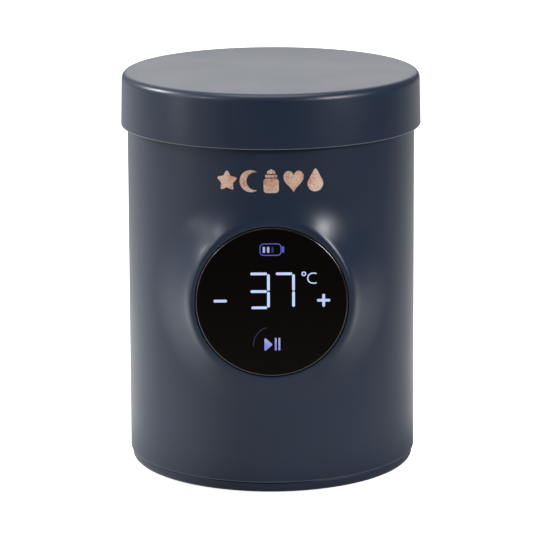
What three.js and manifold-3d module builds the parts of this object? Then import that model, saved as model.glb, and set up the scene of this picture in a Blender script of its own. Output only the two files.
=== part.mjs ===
// A cordless baby-bottle warmer: a navy cylinder with a push-on lid, a round touch display on a faired boss,
// a stainless warming cup with its heaters and insulation, and a battery pack under the cup.
//
// Units are millimetres. +Z is up, the display faces -Y and +X is to the right of someone facing it.
// The origin is the centre of the ring that the warmer stands on.

import * as THREE from "three";
import { mergeVertices } from "three/addons/utils/BufferGeometryUtils.js";
import Module from "manifold-3d";

const wasm = await Module();
wasm.setup();

// ---------------------------------------------------------------- driving dimensions

const GAP = 0.3; // air left between two pieces that touch
const TOTAL_HEIGHT = 129.4;
const WALL = 2.4; // outer shell

const BODY_RADIUS_LOW = 47.0; // at the base seam
const BODY_RADIUS_HIGH = 46.65; // under the lid
const SHELL_BOTTOM = 3.4;
const SHELL_TOP = 117.6;
const SHELL_BORE = BODY_RADIUS_LOW - WALL;

const BASE_RADIUS = 46.4;
const BASE_UNDERSIDE = 0.4;
const FOOT_HEIGHT = 1.5;
const FOOT_INNER = 41.0;
const FOOT_OUTER = 44.0;
const BASE_EDGE = 1.4; // rounded edge of the base cover
const UPSTAND_TOP = 7; // the base cover's locating ring inside the shell
const UPSTAND_INNER = 42.5;

const LID_BOTTOM = 112.2;
const LID_RADIUS_LOW = 48.72;
const LID_RADIUS_HIGH = 48.3;
const LID_ROUND = 3.0; // rounded top edge
const LID_BORE = BODY_RADIUS_HIGH + 0.4;
const LID_THICKNESS = 2.0;
const LID_RIB_INNER = 42.6; // the ring inside the lid that presses on its liner
const LID_RIB_OUTER = 44.2;
const LID_PLUG_BOTTOM = 110;
const LID_PLUG_SHEET = 1.8; // floor of the liner
const LID_PLUG_WALL = 2.3;
const LID_FLANGE_RADIUS = 44;
const LID_FLANGE_SHEET = 1.3;
const SEAL_GROOVE = [111.2, 114.8];
const SEAL_GROOVE_DEPTH = 0.7;

const LENS_RADIUS = 24.0;
const LENS_THICKNESS = 2.0;
const DISPLAY_Z = 63.2; // height of the display's centre
const BOSS_FRONT = 47.3; // distance of the display's face from the body's axis
const CREST_RADIUS = 26.2; // where the boss starts to fall away
const FAIRING_LENGTH = 11.5; // from the crest to the plain cylinder
const FAIRING_POWER = 2.4; // how steeply it leaves the crest
const LENS_CHAMFER = 0.5;
const LEDGE_DEPTH = 1.4; // the ledge that the lens is bonded to
const LEDGE_WIDTH = 2.3;

const CUP_RADIUS = 36.8; // inside the steel cup
const CUP_SHEET = 0.8;
const CUP_FLOOR = 41.3;
const CUP_FLANGE = 41.2;
const CUP_TOP = 115.8;
const CUP_CORNER = 4.0;
const COLLAR_TOP = 119.6;
const COLLAR_SKIRT_BOTTOM = 112.5;
const COLLAR_SKIRT_INNER = 42;
const COLLAR_LIP = 0.8; // thickness of the lip over the cup's flange
const SLEEVE_RADIUS = 41.5;
const SLEEVE_HEIGHTS = [46, 112];
const DISC_RADIUS = 37;
const PLATE_RADIUS = 30;

const CELL_RADIUS = 9.1;
const CELL_LENGTH = 65;
const CELL_PITCH = 19.0;
const CELL_Z = 13.6;
const TRAY_HALF_LENGTH = 35;
const TRAY_HALF_WIDTH = 28.5;

const BOARD_BOTTOM = 25.2;
const BOARD_THICKNESS = 1.6;
const BOARD_TOP = BOARD_BOTTOM + BOARD_THICKNESS;
const BOARD_HALF_X = 31;
const BOARD_HALF_Y = 28;
const BOARD_TONGUE = [8, 41.5]; // half width and reach of the tongue under the charging inlet
const PORT_Z = BOARD_TOP + GAP + 1.6;

const CHASSIS_BOTTOM = 33.5;
const CHASSIS_TOP = 35.5;
const CHASSIS_RADIUS = 43.0;
const POST_RADIUS = 3.0;

const POST_CIRCLE = 37.0;
const POST_ANGLES = [65, 115, 245, 295];
const BOSS_PLACES = [[24, 21], [-24, 21], [-24, -21], [24, -21]]; // board screws

const FLAP_HALF_WIDTH = 7.5;
const FLAP_BOTTOM = 24.2;
const FLAP_TOP = 33.2;
const FLAP_THICKNESS = 1.4;
const FLAP_FACE = BODY_RADIUS_LOW - 0.1;
const ANCHOR_BOTTOM = 21.4;
const ANCHOR_TOP = FLAP_BOTTOM - GAP;
const ANCHOR_Z = (ANCHOR_TOP + ANCHOR_BOTTOM) / 2;
const ANCHOR_STEM = 1.2; // radius
const ANCHOR_BARB = 2.2; // radius
const INLET_HALF_WIDTH = 4.9;
const INLET_HALF_HEIGHT = 2.05;
const BACK_PAD_HALF_WIDTH = 10;
const BACK_PAD_HEIGHTS = [20.8, 33.2];
const BACK_PAD_DEPTH = 1.4; // how far it stands in from the bore

const ROUND = 48; // facets of the largest rings
const MEDIUM = 36;
const SMALL = 12;

// ---------------------------------------------------------------- materials

function finish(color, roughness, metalness = 0) {
  return new THREE.MeshStandardMaterial({ color: new THREE.Color(color), roughness, metalness });
}

const NAVY = ["#2b323f", 0.42];
const BLACK_GLASS = ["#0b0b0c", 0.08];
const DARK_PLASTIC = ["#22252b", 0.55];
const STEEL = ["#c9cacc", 0.3, 1];
const SILICONE = ["#3a3f49", 0.75];
const WHITE_PLASTIC = ["#d9d9d4", 0.5];
const CIRCUIT_BOARD = ["#1c5a38", 0.45];
const CHIP = ["#17181a", 0.5];
const COPPER_FILM = ["#b96a2c", 0.4];
const FOAM = ["#e7e3da", 0.95];
const CELL_WRAP = ["#3d6fae", 0.4];
const NICKEL = ["#b9b6ad", 0.35, 1];
const ALUMINIUM = ["#a9acb0", 0.4, 1];
const RED_LEAD = ["#a81e1e", 0.5];
const BLACK_LEAD = ["#151515", 0.5];

// ---------------------------------------------------------------- geometry helpers

function degrees(angle) {
  return THREE.MathUtils.degToRad(angle);
}

// A closed solid of revolution about Z. The profile is a list of [radius, height].
// It closes on itself, or starts and ends on the axis.
function turned(profile, segments) {
  const points = profile.map(([radius, height]) => new THREE.Vector2(radius, height));
  const last = points[points.length - 1];
  const onAxis = points[0].x === 0 && last.x === 0;
  if (!onAxis) points.push(points[0].clone());
  const geometry = new THREE.LatheGeometry(points, segments);
  return facingOut(geometry.rotateX(Math.PI / 2));
}

// Turns the faces outwards when the signed volume is negative.
function facingOut(geometry) {
  const merged = weld(geometry);
  const position = merged.getAttribute("position");
  const index = merged.index.array;
  const corner = [new THREE.Vector3(), new THREE.Vector3(), new THREE.Vector3()];
  let volume = 0;
  for (let face = 0; face < index.length; face += 3) {
    corner.forEach((point, place) => point.fromBufferAttribute(position, index[face + place]));
    volume += corner[0].dot(corner[1].clone().cross(corner[2]));
  }
  if (volume < 0) {
    for (let face = 0; face < index.length; face += 3) {
      [index[face], index[face + 1]] = [index[face + 1], index[face]];
    }
  }
  return merged;
}

// Merges the corners that faces share and drops the faces that merging has emptied.
function weld(geometry) {
  const bare = geometry.clone();
  bare.deleteAttribute("normal");
  bare.deleteAttribute("uv");
  const merged = mergeVertices(bare, 1e-4);
  const source = merged.index.array;
  const kept = [];
  for (let face = 0; face < source.length; face += 3) {
    const [a, b, c] = [source[face], source[face + 1], source[face + 2]];
    if (a !== b && b !== c && c !== a) kept.push(a, b, c);
  }
  merged.setIndex(kept);
  return merged;
}

function solid(geometry) {
  const merged = weld(geometry);
  const vertProperties = new Float32Array(merged.getAttribute("position").array);
  const triVerts = new Uint32Array(merged.index.array);
  return new wasm.Manifold(new wasm.Mesh({ numProp: 3, vertProperties, triVerts }));
}

function geometryOf(manifold) {
  const mesh = manifold.getMesh();
  const geometry = new THREE.BufferGeometry();
  geometry.setAttribute("position", new THREE.BufferAttribute(mesh.vertProperties, 3));
  geometry.setIndex(new THREE.BufferAttribute(mesh.triVerts, 1));
  geometry.computeVertexNormals();
  return geometry;
}

// A ring, or a disc when the inner radius is 0, between two heights.
function ring(inner, outer, low, high, segments = MEDIUM) {
  return turned([[inner, low], [outer, low], [outer, high], [inner, high]], segments);
}

function block([lowX, lowY, lowZ], [highX, highY, highZ]) {
  const box = new THREE.BoxGeometry(highX - lowX, highY - lowY, highZ - lowZ);
  return box.translate((lowX + highX) / 2, (lowY + highY) / 2, (lowZ + highZ) / 2);
}

// Turns a solid of revolution from the Z axis to the display's axis: local +Z becomes -Y.
function towardsFront(geometry) {
  return geometry.rotateX(Math.PI / 2).translate(0, 0, DISPLAY_Z);
}

function post(x, y, radius, low, high, segments = SMALL) {
  return ring(0, radius, low, high, segments).translate(x, y, 0);
}

// Corners of a quarter arc in [radius, height] steps, for a turned profile.
function arc(centreRadius, centreHeight, radius, from, to, steps) {
  return Array.from({ length: steps + 1 }, (_, step) => {
    const angle = degrees(from + ((to - from) * step) / steps);
    return [centreRadius + radius * Math.cos(angle), centreHeight + radius * Math.sin(angle)];
  });
}

// A round or flat lead along a smooth curve through hand-placed points.
function lead(points, section, steps) {
  const path = new THREE.CatmullRomCurve3(points.map((point) => new THREE.Vector3(...point)));
  return new THREE.ExtrudeGeometry(section, { steps, bevelEnabled: false, extrudePath: path });
}

function roundSection(radius, sides) {
  const shape = new THREE.Shape();
  for (let side = 0; side < sides; side += 1) {
    const angle = (2 * Math.PI * side) / sides;
    const corner = [radius * Math.cos(angle), radius * Math.sin(angle)];
    if (side === 0) shape.moveTo(...corner);
    else shape.lineTo(...corner);
  }
  shape.closePath();
  return shape;
}

const warmer = new THREE.Group();

// Adds one named piece to a group and returns it, so that it can be placed.
function addPiece(group, name, geometry, look) {
  const piece = new THREE.Mesh(geometry, finish(...look));
  piece.name = name;
  group.add(piece);
  return piece;
}

// ---------------------------------------------------------------- outer shell with its boss

function bodyRadius(height) {
  const share = (height - SHELL_BOTTOM) / (LID_BOTTOM - SHELL_BOTTOM);
  return THREE.MathUtils.lerp(BODY_RADIUS_LOW, BODY_RADIUS_HIGH, share);
}

// How far in front of the axis the casing's skin is, at a place beside and above the display's centre.
// The boss is flat out to its crest, and falls to the cylinder along a power law.
function frontDepth(x, height) {
  const cylinder = Math.sqrt(bodyRadius(height) ** 2 - x ** 2);
  const reach = Math.hypot(x, height - DISPLAY_Z);
  const fall = THREE.MathUtils.clamp((reach - CREST_RADIUS) / FAIRING_LENGTH, 0, 1);
  return THREE.MathUtils.lerp(cylinder, BOSS_FRONT, (1 - fall) ** FAIRING_POWER);
}

// The boss and its fairing as one closed block: rings of corners round the display's axis, on the casing's
// skin, and a flat back inside the cylinder.
function bossBlock() {
  const backDepth = 20;
  const buried = 0.1; // keeps the last ring just under the faceted cylinder
  const reach = CREST_RADIUS + FAIRING_LENGTH;
  const shares = [0, 0.1, 0.22, 0.38, 0.6, 1];
  const radii = shares.map((share) => THREE.MathUtils.lerp(CREST_RADIUS, reach, share));
  const corners = [];
  const addRing = (radius, depthAt) => {
    for (let place = 0; place < ROUND; place += 1) {
      const angle = (2 * Math.PI * place) / ROUND;
      const x = radius * Math.cos(angle);
      const height = DISPLAY_Z + radius * Math.sin(angle);
      corners.push(x, -depthAt(x, height), height);
    }
  };
  for (const radius of radii.slice(0, -1)) addRing(radius, frontDepth);
  addRing(reach, (x, height) => frontDepth(x, height) - buried);
  addRing(reach, () => backDepth);

  const faces = [];
  for (let row = 0; row < radii.length; row += 1) {
    for (let place = 0; place < ROUND; place += 1) {
      const inner = row * ROUND + place;
      const innerNext = row * ROUND + ((place + 1) % ROUND);
      faces.push(inner, innerNext, innerNext + ROUND, inner, innerNext + ROUND, inner + ROUND);
    }
  }
  const backRing = radii.length * ROUND;
  for (let place = 1; place < ROUND - 1; place += 1) {
    faces.push(0, place + 1, place);
    faces.push(backRing, backRing + place, backRing + place + 1);
  }
  const geometry = new THREE.BufferGeometry();
  geometry.setAttribute("position", new THREE.Float32BufferAttribute(corners, 3));
  geometry.setIndex(faces);
  return facingOut(geometry);
}

function casingCylinder() {
  const low = bodyRadius(SHELL_BOTTOM);
  const high = bodyRadius(SHELL_TOP);
  return turned([[0, SHELL_BOTTOM], [low, SHELL_BOTTOM], [high, SHELL_TOP], [0, SHELL_TOP]], ROUND);
}

const LENS_BACK = BOSS_FRONT - LENS_THICKNESS;
const LEDGE_FRONT = LENS_BACK - GAP;
const LEDGE_BACK = LEDGE_FRONT - LEDGE_DEPTH;
const WINDOW_RADIUS = LENS_RADIUS - LEDGE_WIDTH + GAP;

// The hollow behind the boss follows the fairing, one wall behind it.
// Each corner is [distance from the display's axis, depth].
const HOLLOW_PROFILE = [
  [0, 27.2],
  [36, 27.2],
  [33, 32.0],
  [30, 36.6],
  [27, 41.9],
  [25.5, LEDGE_BACK],
  [0, LEDGE_BACK],
];

// The charging inlet's opening, the flap's recess and the anchor's hole, in a thicker pad of the back wall.
function backPad() {
  const [low, high] = BACK_PAD_HEIGHTS;
  const pad = block([-BACK_PAD_HALF_WIDTH, 40, low], [BACK_PAD_HALF_WIDTH, 45.5, high]);
  const inside = ring(0, SHELL_BORE - BACK_PAD_DEPTH, 15, 40);
  return solid(pad).subtract(solid(inside));
}

function backOpenings() {
  const halfWidth = FLAP_HALF_WIDTH + GAP;
  const pocket = block([-halfWidth, 40, ANCHOR_BOTTOM - GAP], [halfWidth, 50, FLAP_TOP + GAP]);
  const floor = ring(0, FLAP_FACE - FLAP_THICKNESS - GAP, 15, 40);
  const inletLow = [-INLET_HALF_WIDTH, 38, PORT_Z - INLET_HALF_HEIGHT];
  const inletHigh = [INLET_HALF_WIDTH, 50, PORT_Z + INLET_HALF_HEIGHT];
  const anchorHole = post(0, 0, ANCHOR_STEM + GAP, 40, 48).rotateX(-Math.PI / 2).translate(0, 0, ANCHOR_Z);
  return solid(pocket)
    .subtract(solid(floor))
    .add(solid(block(inletLow, inletHigh)))
    .add(solid(anchorHole));
}

function makeOuterShell() {
  const bore = ring(0, SHELL_BORE, SHELL_BOTTOM - 1, SHELL_TOP + 1);
  const hollow = towardsFront(turned(HOLLOW_PROFILE, MEDIUM));
  const ledge = towardsFront(ring(0, CREST_RADIUS - 1, LEDGE_BACK, LEDGE_FRONT + 1));
  const pocket = towardsFront(ring(0, LENS_RADIUS + GAP, LEDGE_FRONT, BOSS_FRONT + 5));
  const window = towardsFront(ring(0, WINDOW_RADIUS, LEDGE_BACK - 1, BOSS_FRONT));
  return geometryOf(
    solid(casingCylinder())
      .add(solid(bossBlock()))
      .subtract(solid(bore))
      .subtract(solid(hollow))
      .add(solid(ledge))
      .subtract(solid(pocket))
      .subtract(solid(window))
      .add(backPad())
      .subtract(backOpenings()),
  );
}

// ---------------------------------------------------------------- base

function postPlace(angle) {
  return [POST_CIRCLE * Math.cos(degrees(angle)), POST_CIRCLE * Math.sin(degrees(angle))];
}

const BASE_TOP = SHELL_BOTTOM - GAP;
const SCREW_HEAD = 3.0;
const SCREW_HEAD_HEIGHT = 0.9;
const SCREW_SHANK = 1.3;
const SCREW_LENGTH = 9;
const BOARD_SCREW = [2.2, 1.2, 0.9, 6]; // head radius, head height, shank radius, length
const COUNTERBORE_TOP = 1.9;

function makeBaseCover() {
  const grooveTop = FOOT_HEIGHT + GAP;
  const profile = [
    [0, BASE_UNDERSIDE],
    [FOOT_INNER - GAP, BASE_UNDERSIDE],
    [FOOT_INNER - GAP, grooveTop],
    [FOOT_OUTER + GAP, grooveTop],
    [FOOT_OUTER + GAP, BASE_UNDERSIDE],
    ...arc(BASE_RADIUS - BASE_EDGE, BASE_UNDERSIDE + BASE_EDGE, BASE_EDGE, -90, 0, 2),
    [BASE_RADIUS, BASE_TOP],
    [SHELL_BORE - GAP, BASE_TOP],
    [SHELL_BORE - GAP, UPSTAND_TOP],
    [UPSTAND_INNER, UPSTAND_TOP],
    [UPSTAND_INNER, BASE_TOP],
    [0, BASE_TOP],
  ];
  let cover = solid(turned(profile, MEDIUM));
  for (const angle of POST_ANGLES) {
    const [x, y] = postPlace(angle);
    cover = cover.subtract(solid(post(x, y, SCREW_HEAD + GAP, 0, COUNTERBORE_TOP)));
    cover = cover.subtract(solid(post(x, y, SCREW_SHANK + GAP, 0, BASE_TOP + 1)));
  }
  return geometryOf(cover);
}

// A screw that points up, with its head's underside at height 0. The drive is a hexagon socket.
function makeScrew(headRadius, headHeight, shankRadius, length) {
  const body = turned([
    [0, -headHeight],
    [headRadius, -headHeight],
    [headRadius, 0],
    [shankRadius, 0],
    [shankRadius, length],
    [0, length],
  ], SMALL);
  const socket = ring(0, headRadius * 0.4, -headHeight - 1, -headHeight * 0.45, 6);
  return geometryOf(solid(body).subtract(solid(socket)));
}

function addBase(group) {
  addPiece(group, "foot_ring", ring(FOOT_INNER, FOOT_OUTER, 0, FOOT_HEIGHT), SILICONE);
  addPiece(group, "base_cover", makeBaseCover(), NAVY);
  POST_ANGLES.forEach((angle, place) => {
    const geometry = makeScrew(SCREW_HEAD, SCREW_HEAD_HEIGHT, SCREW_SHANK, SCREW_LENGTH);
    const screw = addPiece(group, `base_screw_${place + 1}`, geometry, STEEL);
    screw.position.set(...postPlace(angle), COUNTERBORE_TOP - GAP);
  });
}

// ---------------------------------------------------------------- battery pack

const TRAY_FLOOR = SHELL_BOTTOM;
const TRAY_SHEET = 0.8;

function makeBatteryTray() {
  // Each wall stands on the floor: where its centre is, half its thickness, half its length and its top.
  const endWall = { place: TRAY_HALF_LENGTH - 0.65, half: 0.65, reach: 22, top: 12 };
  const divider = { place: CELL_PITCH / 2, half: 0.5, reach: 32, top: 9 };
  const sideWall = { place: TRAY_HALF_WIDTH - 1, half: 1, reach: 29, top: 7 };
  const low = [-TRAY_HALF_LENGTH, -TRAY_HALF_WIDTH, TRAY_FLOOR];
  let tray = solid(block(low, [TRAY_HALF_LENGTH, TRAY_HALF_WIDTH, TRAY_FLOOR + TRAY_SHEET]));
  for (const side of [-1, 1]) {
    const { place, half, reach, top } = endWall;
    const middle = side * place;
    tray = tray.add(solid(block([middle - half, -reach, TRAY_FLOOR], [middle + half, reach, top])));
    for (const wall of [divider, sideWall]) {
      const y = side * wall.place;
      const wallLow = [-wall.reach, y - wall.half, TRAY_FLOOR];
      tray = tray.add(solid(block(wallLow, [wall.reach, y + wall.half, wall.top])));
    }
  }
  const insideUpstand = ring(0, UPSTAND_INNER - 0.4, 0, 20);
  return geometryOf(tray.intersect(solid(insideUpstand)));
}

function makeCell() {
  const half = CELL_LENGTH / 2;
  const buttonRadius = 3.2;
  const shoulder = half - 1;
  const profile = [
    [0, -half],
    [CELL_RADIUS, -half],
    [CELL_RADIUS, shoulder],
    [buttonRadius, shoulder],
    [buttonRadius, half],
    [0, half],
  ];
  return turned(profile, 20).rotateY(Math.PI / 2);
}

function addBatteryPack(group) {
  addPiece(group, "battery_tray", makeBatteryTray(), DARK_PLASTIC);
  [-CELL_PITCH, 0, CELL_PITCH].forEach((y, place) => {
    const cell = addPiece(group, `battery_cell_${place + 1}`, makeCell(), CELL_WRAP);
    cell.position.set(0, y, CELL_Z);
    if (place === 1) cell.rotation.z = Math.PI;
  });
  const strip = [0.15, CELL_PITCH + 4, 3.5];
  const stripPlace = CELL_LENGTH / 2 + GAP + strip[0];
  const outline = () => new THREE.BoxGeometry(2 * strip[0], 2 * strip[1], 2 * strip[2]);
  addPiece(group, "nickel_strip_left", outline(), NICKEL).position.set(-stripPlace, 0, CELL_Z + 2);
  addPiece(group, "nickel_strip_right", outline(), NICKEL).position.set(stripPlace, 0, CELL_Z + 2);
}

// ---------------------------------------------------------------- main board

function makeMainBoard() {
  const screwHole = 1.3;
  const [tongueHalf, tongueReach] = BOARD_TONGUE;
  const sheet = block([-BOARD_HALF_X, -BOARD_HALF_Y, BOARD_BOTTOM], [BOARD_HALF_X, BOARD_HALF_Y, BOARD_TOP]);
  const tongue = block([-tongueHalf, BOARD_HALF_Y - 1, BOARD_BOTTOM], [tongueHalf, tongueReach, BOARD_TOP]);
  let board = solid(sheet).add(solid(tongue));
  for (const [x, y] of BOSS_PLACES) {
    board = board.subtract(solid(post(x, y, screwHole, BOARD_BOTTOM - 1, BOARD_TOP + 1)));
  }
  return geometryOf(board);
}

function makeUsbPort() {
  const [halfWidth, depth, halfHeight] = [4.45, 7.3, 1.6];
  const sheet = 0.35;
  const back = 1.4; // thickness of its closed end
  const outside = block([-halfWidth, 0, -halfHeight], [halfWidth, depth, halfHeight]);
  const mouthHalf = [halfWidth - sheet, halfHeight - sheet];
  const mouth = block([-mouthHalf[0], back, -mouthHalf[1]], [mouthHalf[0], 9, mouthHalf[1]]);
  const tongue = block([-3.3, back - 0.4, -sheet], [3.3, depth - 0.9, sheet]);
  return geometryOf(solid(outside).subtract(solid(mouth)).add(solid(tongue)));
}

// A small box-shaped component standing on the board, centred at x, y.
function addChip(group, name, [x, y], [width, depth, height], look) {
  const chip = addPiece(group, name, new THREE.BoxGeometry(width, depth, height), look);
  chip.position.set(x, y, BOARD_TOP + GAP + height / 2);
}

// A drum-shaped component standing on the board, chamfered at the top.
function addCan(group, name, [x, y], radius, height, look) {
  const chamfer = 0.5;
  const can = turned([
    [0, 0],
    [radius, 0],
    [radius, height - chamfer],
    [radius - chamfer, height],
    [0, height],
  ], 20);
  addPiece(group, name, can, look).position.set(x, y, BOARD_TOP + GAP);
}

function addMainBoard(group) {
  addPiece(group, "main_board", makeMainBoard(), CIRCUIT_BOARD);
  addPiece(group, "usb_port", makeUsbPort(), STEEL).position.set(0, 35.3, PORT_Z);
  addChip(group, "control_chip", [2, 4], [7, 7, 1], CHIP);
  addChip(group, "power_inductor", [-14, 15], [10, 10, 4], CHIP);
  addChip(group, "battery_connector", [25, 4], [6, 8, 3.5], WHITE_PLASTIC);
  addChip(group, "heater_connector", [-25, -8], [6, 8, 3.5], WHITE_PLASTIC);
  addChip(group, "display_connector", [0, -22.5], [14, 4, 2], WHITE_PLASTIC);
  addCan(group, "filter_capacitor", [13, 17], 3.2, 5.4, ALUMINIUM);
  addCan(group, "buzzer", [-12, -6], 4.5, 4, CHIP);
  BOSS_PLACES.forEach(([x, y], place) => {
    const screw = addPiece(group, `board_screw_${place + 1}`, makeScrew(...BOARD_SCREW), STEEL);
    screw.position.set(x, y, BOARD_BOTTOM - GAP);
  });
}

// ---------------------------------------------------------------- inner chassis

const HEATER_LEAD_ANGLES = [192, 200];
const HEATER_LEAD_CIRCLE = 39.4;
const LEAD_RADIUS = 0.6;

function heaterLeadPlace(angle) {
  return [HEATER_LEAD_CIRCLE * Math.cos(degrees(angle)), HEATER_LEAD_CIRCLE * Math.sin(degrees(angle))];
}

function makeChassis() {
  const rimTop = 41;
  const rimInner = 41.8;
  const middleHole = 8;
  const boardBoss = 2.4;
  const boardPilot = 1.2;
  const leadHole = LEAD_RADIUS + 2 * GAP;
  let chassis = solid(turned([
    [middleHole, CHASSIS_BOTTOM],
    [CHASSIS_RADIUS, CHASSIS_BOTTOM],
    [CHASSIS_RADIUS, rimTop],
    [rimInner, rimTop],
    [rimInner, CHASSIS_TOP],
    [middleHole, CHASSIS_TOP],
  ], MEDIUM));
  for (const angle of POST_ANGLES) {
    const [x, y] = postPlace(angle);
    chassis = chassis.add(solid(post(x, y, POST_RADIUS, SHELL_BOTTOM, CHASSIS_BOTTOM + 1)));
    chassis = chassis.subtract(solid(post(x, y, SCREW_SHANK + GAP, 0, 14)));
  }
  for (const [x, y] of BOSS_PLACES) {
    chassis = chassis.add(solid(post(x, y, boardBoss, BOARD_TOP + GAP, CHASSIS_BOTTOM + 1)));
    chassis = chassis.subtract(solid(post(x, y, boardPilot, 20, 32)));
  }
  for (const angle of HEATER_LEAD_ANGLES) {
    chassis = chassis.subtract(solid(post(...heaterLeadPlace(angle), leadHole, 30, 38)));
  }
  const ribbonNotch = solid(block([-8, -50, 30], [8, -37.5, 45]));
  return geometryOf(chassis.subtract(ribbonNotch));
}

// ---------------------------------------------------------------- warming cup

function makeCupLiner() {
  const outer = CUP_RADIUS + CUP_SHEET;
  const inside = arc(CUP_RADIUS - CUP_CORNER, CUP_FLOOR + CUP_CORNER, CUP_CORNER, -90, 0, 2);
  const outside = arc(CUP_RADIUS - CUP_CORNER, CUP_FLOOR + CUP_CORNER, CUP_CORNER + CUP_SHEET, 0, -90, 2);
  return turned([
    [0, CUP_FLOOR],
    ...inside,
    [CUP_RADIUS, CUP_TOP],
    [CUP_FLANGE, CUP_TOP],
    [CUP_FLANGE, CUP_TOP - CUP_SHEET],
    [outer, CUP_TOP - CUP_SHEET],
    ...outside,
    [0, CUP_FLOOR - CUP_SHEET],
  ], MEDIUM);
}

const FILM_INNER = CUP_RADIUS + CUP_SHEET + GAP;
const FILM_OUTER = FILM_INNER + 0.4;
const FILM_BOTTOM = 46.5;
const FILM_TOP = 100;
const DISC_BOTTOM = CHASSIS_TOP + GAP;
const DISC_TOP = 38.5;
const PLATE_BOTTOM = DISC_TOP + GAP;
const PLATE_TOP = CUP_FLOOR - CUP_SHEET - GAP;

// The heating film is wrapped round the cup, with a slit where its ends meet and a tail for its leads.
function makeHeaterFilm() {
  const tailAngle = degrees((HEATER_LEAD_ANGLES[0] + HEATER_LEAD_ANGLES[1]) / 2);
  const tailBlock = block([35, -5, DISC_BOTTOM], [42, 5, FILM_BOTTOM + 1]).rotateZ(tailAngle);
  const tail = solid(ring(FILM_INNER, FILM_OUTER, DISC_TOP, FILM_BOTTOM + 1)).intersect(solid(tailBlock));
  const slit = solid(block([-0.4, 30, FILM_BOTTOM - 1], [0.4, 45, FILM_TOP + 1]));
  const sheet = solid(ring(FILM_INNER, FILM_OUTER, FILM_BOTTOM, FILM_TOP));
  return geometryOf(sheet.subtract(slit).add(tail));
}

function addCup(group) {
  const sleeveInner = FILM_OUTER + GAP;
  const sensorRadius = 1.5;
  const sensorHole = sensorRadius + 0.4;
  const fuseRadius = 1.3;
  const gasketInner = 38.4;
  const gasketTop = CUP_TOP + 1.5;
  const fuseSlot = block([-6.5, 10, DISC_BOTTOM - 1], [6.5, 14.5, DISC_TOP + 1]);
  const disc = solid(ring(sensorHole, DISC_RADIUS, DISC_BOTTOM, DISC_TOP)).subtract(solid(fuseSlot));
  addPiece(group, "cup_liner", makeCupLiner(), STEEL);
  addPiece(group, "heater_film", makeHeaterFilm(), COPPER_FILM);
  addPiece(group, "insulation_sleeve", ring(sleeveInner, SLEEVE_RADIUS, ...SLEEVE_HEIGHTS), FOAM);
  addPiece(group, "insulation_disc", geometryOf(disc), FOAM);
  addPiece(group, "heater_plate", ring(sensorHole, PLATE_RADIUS, PLATE_BOTTOM, PLATE_TOP), ALUMINIUM);
  addPiece(group, "thermal_sensor", ring(0, sensorRadius, DISC_BOTTOM + 0.5, PLATE_TOP, SMALL), CHIP);
  const fuse = ring(0, fuseRadius, -4.5, 4.5, SMALL).rotateY(Math.PI / 2);
  addPiece(group, "thermal_fuse", fuse, WHITE_PLASTIC).position.set(0, 12.2, (DISC_BOTTOM + DISC_TOP) / 2);
  addPiece(group, "cup_gasket", ring(gasketInner, CUP_FLANGE, CUP_TOP + GAP, gasketTop), SILICONE);
}

function makeRimCollar() {
  const lipInner = CUP_RADIUS + 0.4;
  const lipOuter = lipInner + COLLAR_LIP;
  const skirtOuter = SHELL_BORE - 0.4;
  const chamfer = 0.6;
  const outer = BODY_RADIUS_HIGH - 0.6;
  return turned([
    [lipInner, CUP_TOP + GAP],
    [lipOuter, CUP_TOP + GAP],
    [lipOuter, SHELL_TOP],
    [COLLAR_SKIRT_INNER, SHELL_TOP],
    [COLLAR_SKIRT_INNER, COLLAR_SKIRT_BOTTOM],
    [skirtOuter, COLLAR_SKIRT_BOTTOM],
    [skirtOuter, SHELL_TOP + GAP],
    [outer, SHELL_TOP + GAP],
    [outer, COLLAR_TOP - chamfer],
    [outer - chamfer, COLLAR_TOP],
    [lipOuter, COLLAR_TOP],
    [lipInner, COLLAR_TOP - COLLAR_LIP],
  ], MEDIUM);
}

// ---------------------------------------------------------------- display

const MASK_THICKNESS = 1.1;
const MASK_BACK = LEDGE_FRONT - MASK_THICKNESS;
const DISPLAY_BOARD_FRONT = MASK_BACK - GAP;
const DISPLAY_BOARD_BACK = DISPLAY_BOARD_FRONT - 1.2;
const DISPLAY_BOARD_RADIUS = WINDOW_RADIUS - GAP - 0.4;
const DRIVER_CHIP = [5, 5, 1];
const TOUCH_PLACES = { minus: [-16.4, 0], plus: [16.4, 0], play: [0, -13.8] }; // from the display's centre
const TOUCH_RADIUS = 2.6;

// The light guide has a window for each lit symbol and a hole for each touch pad.
function makeDisplayMask() {
  const windows = [
    [-4.5, 14, 4.5, 18.6], // battery symbol
    [-8.2, -3.6, 0.6, 9.6], // first digit
    [1.0, -3.6, 8.0, 9.6], // second digit
    [9.2, 5.4, 15, 9.8], // degree sign
  ];
  let mask = solid(ring(0, WINDOW_RADIUS - GAP, MASK_BACK, LEDGE_FRONT));
  for (const [left, low, right, high] of windows) {
    mask = mask.subtract(solid(block([left, low, MASK_BACK - 1], [right, high, LEDGE_FRONT + 1])));
  }
  for (const [x, y] of Object.values(TOUCH_PLACES)) {
    mask = mask.subtract(solid(post(x, y, TOUCH_RADIUS + GAP, MASK_BACK - 1, LEDGE_FRONT + 1)));
  }
  return geometryOf(mask);
}

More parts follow.
